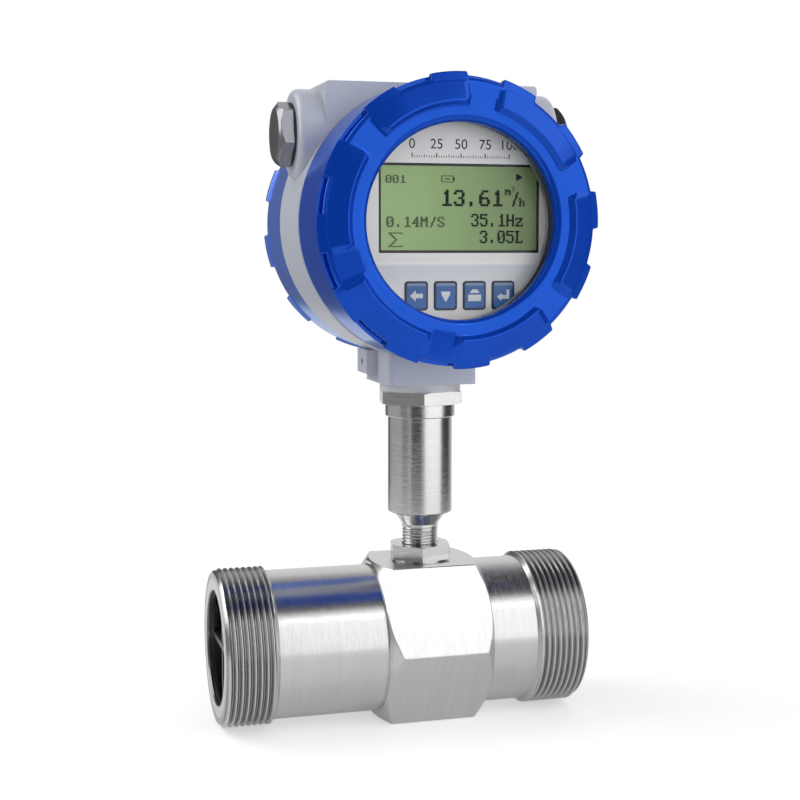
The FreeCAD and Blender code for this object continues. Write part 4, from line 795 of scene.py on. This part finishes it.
class FLOWMETER_OT_covers(bpy.types.Operator):
    """The windowed front cover and the blind rear cover, with their lugs and grips"""
    bl_idname = "flowmeter.covers"
    bl_label = "Covers"

    def execute(self, context):
        paint = gloss_paint("blue_enamel", tint_of("blue_paint"))
        # painted light: the rear cover's enamel is the front cover's blue made paler
        rear_paint_painted_light = gloss_paint("rear_blue_enamel", tint_of("rear_paint_painted_light"))
        window = [(36.0, 38.4), (36.1, 36.6), (35.4, 34.9), (34.0, 34.2), (32.5, 34.2), (32.5, 39.0),
                  (25.3, 39.0), (25.3, 41.0)]
        build_cover("front_cover_casting", "front_cover", FRONT_SEAT, (0, -1, 0), (1, 0, 0), 33.0, 0.0,
                    window, [1.0, 0.9, 0.9, 0.5, 0.2, 0.2, 0.2, 0.2], "front_lid", paint)
        blind = [(34.0, 38.4), (34.0, 36.0), (32.0, 34.0), (32.0, 0.0), (28.0, 0.0), (28.0, 41.0)]
        build_cover("rear_cover_casting", "rear_cover", REAR_SEAT, (0, 1, 0), (-1, 0, 0), 31.0, 13.0,
                    blind, [1.0, 0.8, 0.8, 0, 0, 0.5], "rear_lid", rear_paint_painted_light)
        return {"FINISHED"}


def rounded_copy(node, name, width, segments, material):
    """A copy of a CAD node of the head, merged and with its flat faces joined, with rounded edges."""
    shape = bmesh.new()
    shape.from_mesh(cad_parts[node].data)
    bmesh.ops.remove_doubles(shape, verts=shape.verts, dist=1e-6)
    bmesh.ops.dissolve_limit(shape, angle_limit=math.radians(0.6), verts=shape.verts, edges=shape.edges,
                             use_dissolve_boundaries=False, delimit=set())
    mesh = bpy.data.meshes.new(name)
    shape.to_mesh(mesh)
    shape.free()
    piece = add_item(name, mesh)
    bevel = piece.modifiers.new("edges", "BEVEL")
    bevel.width, bevel.segments = width * MM, segments
    bevel.limit_method, bevel.angle_limit = "ANGLE", math.radians(28)
    piece.data = evaluated_mesh(piece, name)
    piece.modifiers.clear()
    finish_piece(piece, material, "head", 30.0)
    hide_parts(node)


class FLOWMETER_OT_housing(bpy.types.Operator):
    """The painted housing with softened edges"""
    bl_idname = "flowmeter.housing"
    bl_label = "Housing"

    def execute(self, context):
        rounded_copy("housing", "housing_casting", settings("castings").housing_edge, 3,
                     powder_coat("grey_powder_coat", tint_of("grey_paint")))
        return {"FINISHED"}


class FLOWMETER_OT_hardware(bpy.types.Operator):
    """Lock nuts and blanking plugs with broken edges"""
    bl_idname = "flowmeter.hardware"
    bl_label = "Hardware"

    def execute(self, context):
        steel = turned_steel("nut_steel", 2, tint_of("steel"), 0.18)
        plated = turned_steel("plug_plating", 0, tint_of("plated"), 0.26)
        lock_nut("pickup_lock_nut", 11.0, STEM_THREAD + 0.05, (None, (11.5, 3.0)), steel)
        lock_nut("head_lock_nut", 15.0, SWIVEL + 0.1, ((16.0, 3.0), (16.0, 3.0)), steel)
        for node in ("left_plug", "right_plug"):
            rounded_copy(node, node + "_dressed", settings("castings").hardware_edge, 1, plated)
        return {"FINISHED"}


# --- display

SCREEN_EDGE = 0.3
SCREEN_SIZE = (SCREEN_HIGH - SCREEN_LOW)[[0, 2]] - 2 * SCREEN_EDGE
PRINT_DEPTH = 0.03
GLYPHS = {
    "0": ".#####. ##...## ##..### ##.#.## ###..## ##...## .#####.",
    "1": "...##.. ..###.. ...##.. ...##.. ...##.. ...##.. .######",
    "2": ".#####. ##...## .....## ...###. ..##... .##..## #######",
    "3": ".#####. ##...## .....## ...###. .....## ##...## .#####.",
    "4": "....##. ...###. ..####. .##.##. ####### ....##. ...####",
    "5": "####### ##..... ######. .....## .....## ##...## .#####.",
    "6": "..####. .##.... ##..... ######. ##...## ##...## .#####.",
    "7": "####### ##...## ....##. ...##.. ..##... ..##... ..##...",
    "8": ".#####. ##...## ##...## .#####. ##...## ##...## .#####.",
    "9": ".#####. ##...## ##...## .###### .....## ....##. .####..",
    ".": "....... ....... ....... ....... ....... ..##... ..##...",
    "/": ".....## ....##. ....##. ...##.. ..##... ..##... .##....",
    "M": "##...## ###.### ####### ##.#.## ##...## ##...## ##...##",
    "S": ".#####. ##...## ###.... ..###.. ....### ##...## .#####.",
    "H": "##...## ##...## ##...## ####### ##...## ##...## ##...##",
    "L": "####... .##.... .##.... .##.... .##.... .##...# #######",
    "z": "....... ....... ####### #...##. ..###.. .##...# #######",
    "m": "....... ....... ##.##.. ####### ##.#.## ##.#.## ##.#.##",
    "h": "###.... .##.... .##.##. .###.## .##..## .##..## ###..##",
    ">": "##..... ####... ######. ####### ######. ####... ##.....",
    "sum": "############ .##........# ..##........ ...##....... ....##...... .....##..... ......##.... "
           ".....##..... ....##...... ...##....... ..##........ .##........# ############",
}


def lit_dots(text, left, right, top, bottom):
    """Centres and half sizes of the lit dots of a text that fills a box, given in shares of the screen."""
    signs = [GLYPHS[text].split()] if text in GLYPHS else [GLYPHS[sign].split() for sign in text]
    lines = [".".join(sign[row] for sign in signs) for row in range(len(signs[0]))]
    lit = np.argwhere(np.array([list(line) for line in lines]) == "#")
    wide, high = (right - left) / len(lines[0]), (bottom - top) / len(lines)
    centres = np.stack([left + (lit[:, 1] + 0.5) * wide, top + (lit[:, 0] + 0.5) * high], axis=1)
    return centres, np.broadcast_to([wide / 2, high / 2], centres.shape)


def tiles(centres, halves, front, thickness):
    """Thin boxes facing -Y: eight corners and six sides for each centre, all at once.
    Centres and half sizes are (x, z) pairs in millimetres."""
    signs = np.array([(-1, -1), (1, -1), (1, 1), (-1, 1)])
    flat = centres[:, None, :] + halves[:, None, :] * signs[None]
    depth = np.array([front, front + thickness])
    points = np.zeros((len(centres), 2, 4, 3))
    points[..., 0], points[..., 2] = flat[:, None, :, 0], flat[:, None, :, 1]
    points[..., 1] = depth[None, :, None]
    sides = np.array([(0, 1, 2, 3), (7, 6, 5, 4), (4, 5, 1, 0), (5, 6, 2, 1), (6, 7, 3, 2), (7, 4, 0, 3)])
    faces = sides[None] + 8 * np.arange(len(centres))[:, None, None]
    return points.reshape(-1, 3), faces.reshape(-1, 4)


def screen_place(shares):
    """Shares of the screen's width and height, from its top left, as (x, z)."""
    corner = np.array([SCREEN_LOW[0] + SCREEN_EDGE, SCREEN_HIGH[2] - SCREEN_EDGE])
    return corner + shares * SCREEN_SIZE * (1, -1)


def add_tiles(name, centres, halves, front, material):
    """One piece of thin boxes on the head."""
    points, faces = tiles(centres, halves, front, PRINT_DEPTH)
    new_piece(name, points, faces, material, "head", merge=False)


def add_dots(name, centres, halves, tint):
    """One piece of dots on the screen, from centres and half sizes in shares of it."""
    add_tiles(name, screen_place(centres), halves * SCREEN_SIZE, SCREEN_LOW[1] - PRINT_DEPTH,
              ink(name + "_ink", tint))


def add_texts(name, texts, boldness, tint):
    """One piece for texts of the same darkness; boldness widens every dot."""
    centres, halves = (np.concatenate(lists) for lists in zip(*(lit_dots(*text) for text in texts)))
    add_dots(name, centres, halves * (boldness, 0.98), tint)


class FLOWMETER_OT_readout(bpy.types.Operator):
    """Numbers and units on the liquid crystal screen"""
    bl_idname = "flowmeter.readout"
    bl_label = "Readout"

    def execute(self, context):
        shown = settings("readout")
        add_texts("readout_dark", [
            (shown.rate, 0.38, 0.77, 0.29, 0.475), (shown.pulses, 0.57, 0.90, 0.56, 0.705),
            (shown.total, 0.625, 0.90, 0.75, 0.895), ("m", 0.783, 0.822, 0.25, 0.345),
            ("3", 0.828, 0.845, 0.245, 0.295), ("/", 0.822, 0.872, 0.31, 0.475),
            ("h", 0.872, 0.91, 0.375, 0.475), (">", 0.855, 0.895, 0.10, 0.18),
        ], 1.0, (0.004, 0.010, 0.006))
        add_texts("readout_faint", [
            (shown.channel, 0.04, 0.165, 0.13, 0.22), (shown.speed, 0.045, 0.405, 0.595, 0.715),
            ("sum", 0.055, 0.145, 0.775, 0.94),
        ], 0.8, (0.030, 0.050, 0.032))
        bars = np.array([(0.4225, 0.134, 0.0375, 0.004), (0.4225, 0.202, 0.0375, 0.004),
                         (0.387, 0.168, 0.003, 0.034), (0.458, 0.168, 0.003, 0.034),
                         (0.4225, 0.168, 0.016, 0.006), (0.463, 0.168, 0.004, 0.016)])
        add_dots("battery_sign", bars[:, :2], bars[:, 2:], (0.02, 0.04, 0.022))
        return {"FINISHED"}


def flat_text(name, text, height, across, up, front, material):
    """A number as a thin mesh facing -Y on the head, centred at across and standing on up."""
    curve = bpy.data.curves.new(name + "_text", "FONT")
    curve.body, curve.size, curve.extrude = text, height, 0.012
    curve.align_x, curve.align_y = "CENTER", "BOTTOM"
    holder = add_item(name + "_text", curve)
    mesh = evaluated_mesh(holder, name)
    bpy.data.objects.remove(holder)
    points = np.zeros(len(mesh.vertices) * 3)
    mesh.vertices.foreach_get("co", points)
    wide, high, deep = points.reshape(-1, 3).T
    placed = np.stack([wide + across, front - deep, high + up], axis=1) * MM
    mesh.vertices.foreach_set("co", placed.ravel())
    mesh.update()
    finish_piece(add_item(name, mesh), material, "head", 30.0)


class FLOWMETER_OT_printed_scale(bpy.types.Operator):
    """The printed scale above the screen: ticks and plain numbers"""
    bl_idname = "flowmeter.printed_scale"
    bl_label = "Printed Scale"

    def execute(self, context):
        black = ink("plate_ink", (0.018, 0.018, 0.02))
        middle, foot, step = HEAD_X + 2.7, HEAD_Z + 22.4, 0.9
        ticks = np.arange(41)
        long = ticks % 10 == 0
        half = np.where(long, 0.8, np.where(ticks % 5 == 0, 0.6, 0.4))
        centres = np.stack([middle + (ticks - 20) * step, foot + half], axis=1)
        halves = np.stack([np.where(long, 0.2, 0.12), half], axis=1)
        add_tiles("scale_ticks", centres, halves, FACEPLATE_FRONT - 0.025, black)
        for index in range(5):
            flat_text(f"scale_number_{index}", str(index * 25), 4.9, middle + (index - 2) * 10 * step,
                      foot + 2.2, FACEPLATE_FRONT - 0.012, black)
        return {"FINISHED"}


SIGNS = {
    "key_left": [[(-2.4, 0.0), (-0.3, 2.0), (-0.3, 0.8), (2.3, 0.8), (2.3, -0.8), (-0.3, -0.8),
                  (-0.3, -2.0)]],
    "key_down": [[(-1.7, 1.5), (1.7, 1.5), (1.5, 0.2), (0.0, -2.2), (-1.5, 0.2)]],
    "key_up": [[(-2.4, -2.0), (2.4, -2.0), (2.4, 0.3), (-2.4, 0.3)],
               [(-1.9, 0.9), (1.9, 0.9), (0.9, 2.2), (-0.9, 2.2)]],
    "key_enter": [[(-2.4, -0.6), (-0.7, 0.9), (-0.7, 0.1), (1.2, 0.1), (1.2, 2.0), (2.3, 2.0), (2.3, -1.3),
                   (-0.7, -1.3), (-0.7, -2.1)]],
}


class FLOWMETER_OT_keys(bpy.types.Operator):
    """Faces and signs of the four keys"""
    bl_idname = "flowmeter.keys"
    bl_label = "Keys"

    def execute(self, context):
        white = ink("key_ink", (0.80, 0.88, 0.94))
        for node, outlines in SIGNS.items():
            low, high = box_mm(node)
            centre = (float(low[0] + high[0]) / 2, float(low[2] + high[2]) / 2)
            dress(node, key_face(node + "_face", tint_of("key"), centre))
            points, faces = [], []
            for outline in outlines:
                ring = np.array(outline) + centre
                first, last = len(points), len(points) + len(ring)
                points += [(x, depth, z) for depth in (low[1] - 0.02, low[1]) for x, z in ring]
                faces += [list(range(first, last))[::-1], list(range(last, last + len(ring)))]
                faces += [[first + here, first + then, last + then, last + here]
                          for here, then in zip(range(len(ring)), [*range(1, len(ring)), 0])]
            new_piece(node + "_sign", points, faces, white, node + "_cap", merge=False)
        return {"FINISHED"}


# --- finishes of the CAD pieces

def dress(node, material):
    """Give a CAD node its finish."""
    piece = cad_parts[node]
    piece.data.materials.clear()
    piece.data.materials.append(material)


class FLOWMETER_OT_finishes(bpy.types.Operator):
    """Finishes of the pieces whose CAD shape is shown as it is"""
    bl_idname = "flowmeter.finishes"
    bl_label = "Finishes"

    def execute(self, context):
        steel, plated = tint_of("steel"), tint_of("plated")
        made = {
            turned_steel("washer_steel", 2, steel): ["pickup_washer"],
            # painted shade: the vanes and retaining rings inside the bore get the tube's steel at 0.28 of
            # its brightness
            ground_steel("vane_steel", shade(steel, 0.28), 0.35): [
                "inlet_straightener", "outlet_straightener", "inlet_retaining_ring",
                "outlet_retaining_ring"],
            turned_steel("rotor_metal", 0, shade(steel, 0.8), 0.3): ["turbine_rotor"],
            ground_steel("hard_metal", (0.30, 0.30, 0.31), 0.2): [
                "rotor_shaft", "inlet_bearing", "outlet_bearing", "inlet_thrust_pad", "outlet_thrust_pad"],
            copper_winding("coil_wire", (0.72, 0.36, 0.18)): ["pickup_coil"],
            ground_steel("magnet_plating", (0.35, 0.35, 0.36), 0.3): ["pickup_magnet", "pickup_core"],
            circuit_board("solder_mask", (0.012, 0.14, 0.05)): [
                "preamp_board", "display_board", "terminal_board"],
            moulded("seal_rubber", (0.022, 0.022, 0.023), 0.6, 3.0, 0.03): [
                "front_cover_seal", "rear_cover_seal", "left_plug_seal", "right_plug_seal"],
            moulded("window_seal_rubber", (0.30, 0.31, 0.33), 0.5, 3.0, 0.02, 0.06): ["window_seal"],
            ground_steel("satin_ring", (0.62, 0.63, 0.65), 0.55): ["window_retaining_ring"],
            ground_steel("black_oxide", (0.035, 0.035, 0.04), 0.35): ["earth_screw"],
            moulded("neck_seal_rubber", (0.62, 0.63, 0.66), 0.5, 3.0, 0.02, 0.06): ["neck_seal"],
            ground_steel("screw_plating", plated, 0.25): [
                "frame_screws", "board_screws", "terminal_board_screws"],
            ground_steel("tinned_brass", (0.70, 0.60, 0.38), 0.3): ["terminal_screws"],
            window_glass("clear_window"): ["window_glass"],
            printed_plate("plate_print", tint_of("faceplate")): ["display_bezel"],
            moulded("black_plastic", (0.020, 0.020, 0.022), 0.5, 3.0, 0.03): [
                "display_frame", "key_switches", "battery_cradle"],
            moulded("green_plastic", (0.03, 0.24, 0.08), 0.4): ["terminal_block"],
            moulded("shrink_sleeve", (0.03, 0.17, 0.11), 0.25, 1.5, 0.02, 0.08): ["battery"],
            liquid_crystal("crystal", tint_of("screen")): ["lcd_panel"],
        }
        for material, nodes in made.items():
            for node in nodes:
                dress(node, material)
        return {"FINISHED"}


# --- stage

def aim(item, target):
    """Turn a lamp or a camera towards a point."""
    item.rotation_euler = (Vector(target) - item.location).to_track_quat("-Z", "Y").to_euler()


def bearing(azimuth, height, distance):
    """A place seen from the middle of the object: degrees round from -Y towards +X, and degrees up."""
    turn, rise = math.radians(azimuth), math.radians(height)
    step = Vector((math.sin(turn) * math.cos(rise), -math.cos(turn) * math.cos(rise), math.sin(rise)))
    return Vector(MIDDLE) + step * distance


def add_lamp(name, azimuth, height, distance, spread, glow):
    """A soft rectangular lamp that faces the object and spans so many degrees across and up. Its power
    gives its face the glow that is asked for; it shows in gloss but not to the camera."""
    lamp = bpy.data.lights.new(name, "AREA")
    lamp.shape = "RECTANGLE"
    lamp.size, lamp.size_y = (2 * distance * math.tan(math.radians(angle) / 2) for angle in spread)
    lamp.energy = glow * math.pi * lamp.size * lamp.size_y
    holder = add_item(name, lamp)
    holder.location = bearing(azimuth, height, distance)
    aim(holder, MIDDLE)
    holder.visible_camera = False


def within(value, low, high, soft):
    """1 between two bounds and 0 outside them, with straight edges that are soft wide."""
    return ((value - low) / soft + 0.5).clamped() * ((high - value) / soft + 0.5).clamped()


def room_glow(nodes):
    """What gloss shows of the room: grey walls, a pale back wall, and dark screens beside the camera,
    on the right and overhead."""
    direction = nodes.node("ShaderNodeTexCoord").outputs["Generated"]
    across, along, up = nodes.values(nodes.node("ShaderNodeSeparateXYZ", i0=direction).outputs)
    azimuth = across.math("ARCTAN2", along * -1.0) * (180 / math.pi)
    height = up.math("ARCSINE") * (180 / math.pi)
    level = 0.42
    screens = [(0.24, within(azimuth, -84, -58, 8)), (0.06, within(azimuth, -47, -9, 7)),
               (0.055, within(azimuth, 70, 113, 12) * (height < 24.0)),
               (0.82, within(azimuth, 135, 190, 14)),
               (0.32, within(azimuth, -157, -145, 8)), (0.13, within(azimuth, -190, -155, 8)),
               (0.42, within(azimuth, 110, 190, 14) * within(height, 42, 100, 8)),
               (0.05, within(height, 57, 100, 6))]
    for glow, share in screens:
        level = level + (glow - level) * share
    return level


def light_world(ambient):
    """White to the camera, a room in gloss, and an even light on everything else."""
    world = bpy.data.worlds.new("studio")
    bpy.context.scene.world = world
    world.use_nodes = True
    world.node_tree.nodes.clear()
    nodes = Nodes(world.node_tree)
    white, gloss = nodes.rays()
    strength = white + (1 - white) * (gloss * room_glow(nodes) + (1 - gloss) * ambient)
    background = nodes.node("ShaderNodeBackground", Color=(1, 1, 1, 1), Strength=strength)
    nodes.node("ShaderNodeOutputWorld", Surface=background.outputs[0])


def add_floor():
    """A round pale floor that is white to the camera where it is lit, and keeps the shadow."""
    angles = np.linspace(0, 2 * math.pi, 96, endpoint=False)
    rim = around((MIDDLE[0], 0, CAD_BOX[0][2] - 0.0002), (0, 0, 1), (1, 0, 0), 0 * angles,
                 0 * angles + FLOOR_RADIUS, angles)
    mesh = bpy.data.meshes.new("floor")
    mesh.from_pydata(rim.tolist(), [], [list(range(len(rim)))])
    finish = Finish("floor_paint", Base_Color=(0.66, 0.66, 0.66, 1), Roughness=0.9, Specular_IOR_Level=0.0)
    white, gloss = finish.rays()
    glow = finish.node("ShaderNodeEmission", Color=(1, 1, 1, 1),
                       Strength=(white * 0.5 + gloss * 0.2).clamped())
    both = finish.node("ShaderNodeAddShader", i0=finish.shader.outputs[0], i1=glow.outputs[0])
    output = next(node for node in finish.tree.nodes if node.type == "OUTPUT_MATERIAL")
    finish.feed(output.inputs["Surface"], both.outputs[0])
    mesh.materials.append(finish.material)
    add_item("floor", mesh)


class FLOWMETER_OT_stage(bpy.types.Operator):
    """Floor, soft lamps and the camera"""
    bl_idname = "flowmeter.stage"
    bl_label = "Stage"

    def execute(self, context):
        studio = settings("studio")
        add_floor()
        light_world(studio.ambient)
        add_lamp("key_lamp", 32, 20, 1.0, (68, 66), studio.key_glow)
        add_lamp("spot_lamp", 23, 42, 0.95, (4, 4), studio.spot_glow)
        add_lamp("side_lamp", -112, 34, 1.0, (45, 48), studio.side_glow)
        camera = bpy.data.cameras.new("camera")
        camera.lens, camera.sensor_width = studio.lens, 36.0
        camera.clip_start, camera.clip_end = 0.01, 20.0
        holder = add_item("camera", camera)
        holder.location = CAMERA_PLACE
        aim(holder, CAMERA_TARGET)
        context.scene.camera = holder
        context.scene.view_settings.view_transform = "Standard"
        return {"FINISHED"}


# --- panel and registration

OPERATORS = (FLOWMETER_OT_finishes, FLOWMETER_OT_flow_tube, FLOWMETER_OT_stem, FLOWMETER_OT_covers,
             FLOWMETER_OT_housing, FLOWMETER_OT_hardware, FLOWMETER_OT_readout,
             FLOWMETER_OT_printed_scale, FLOWMETER_OT_keys, FLOWMETER_OT_stage)
GROUPS = {"tube": TubeSizes, "castings": CastingSizes, "finishes": Finishes, "readout": Readout,
          "studio": Studio}


class FLOWMETER_PT_panel(bpy.types.Panel):
    """Lists the pieces and their settings"""
    bl_idname = "FLOWMETER_PT_panel"
    bl_label = "Flow Meter"
    bl_space_type = "VIEW_3D"
    bl_region_type = "UI"
    bl_category = "Flow Meter"

    def draw(self, context):
        for name, group in GROUPS.items():
            box = self.layout.box()
            box.label(text=name.capitalize())
            for key in group.__annotations__:
                box.prop(settings(name), key)
        for operator in OPERATORS:
            self.layout.operator(operator.bl_idname)


def register():
    """Add the classes and the settings to Blender."""
    for item in (*GROUPS.values(), *OPERATORS, FLOWMETER_PT_panel):
        bpy.utils.register_class(item)
    for name, group in GROUPS.items():
        setattr(bpy.types.Scene, "flow_meter_" + name, PointerProperty(type=group))


def unregister():
    """Take them out again."""
    for name in GROUPS:
        delattr(bpy.types.Scene, "flow_meter_" + name)
    for item in (FLOWMETER_PT_panel, *reversed(OPERATORS), *reversed(GROUPS.values())):
        bpy.utils.unregister_class(item)


def main():
    """Run every operator in turn."""
    register()
    for operator in OPERATORS:
        group, name = operator.bl_idname.split(".")
        getattr(getattr(bpy.ops, group), name)()
    bpy.context.view_layer.update()


if __name__ == "__main__":
    main()
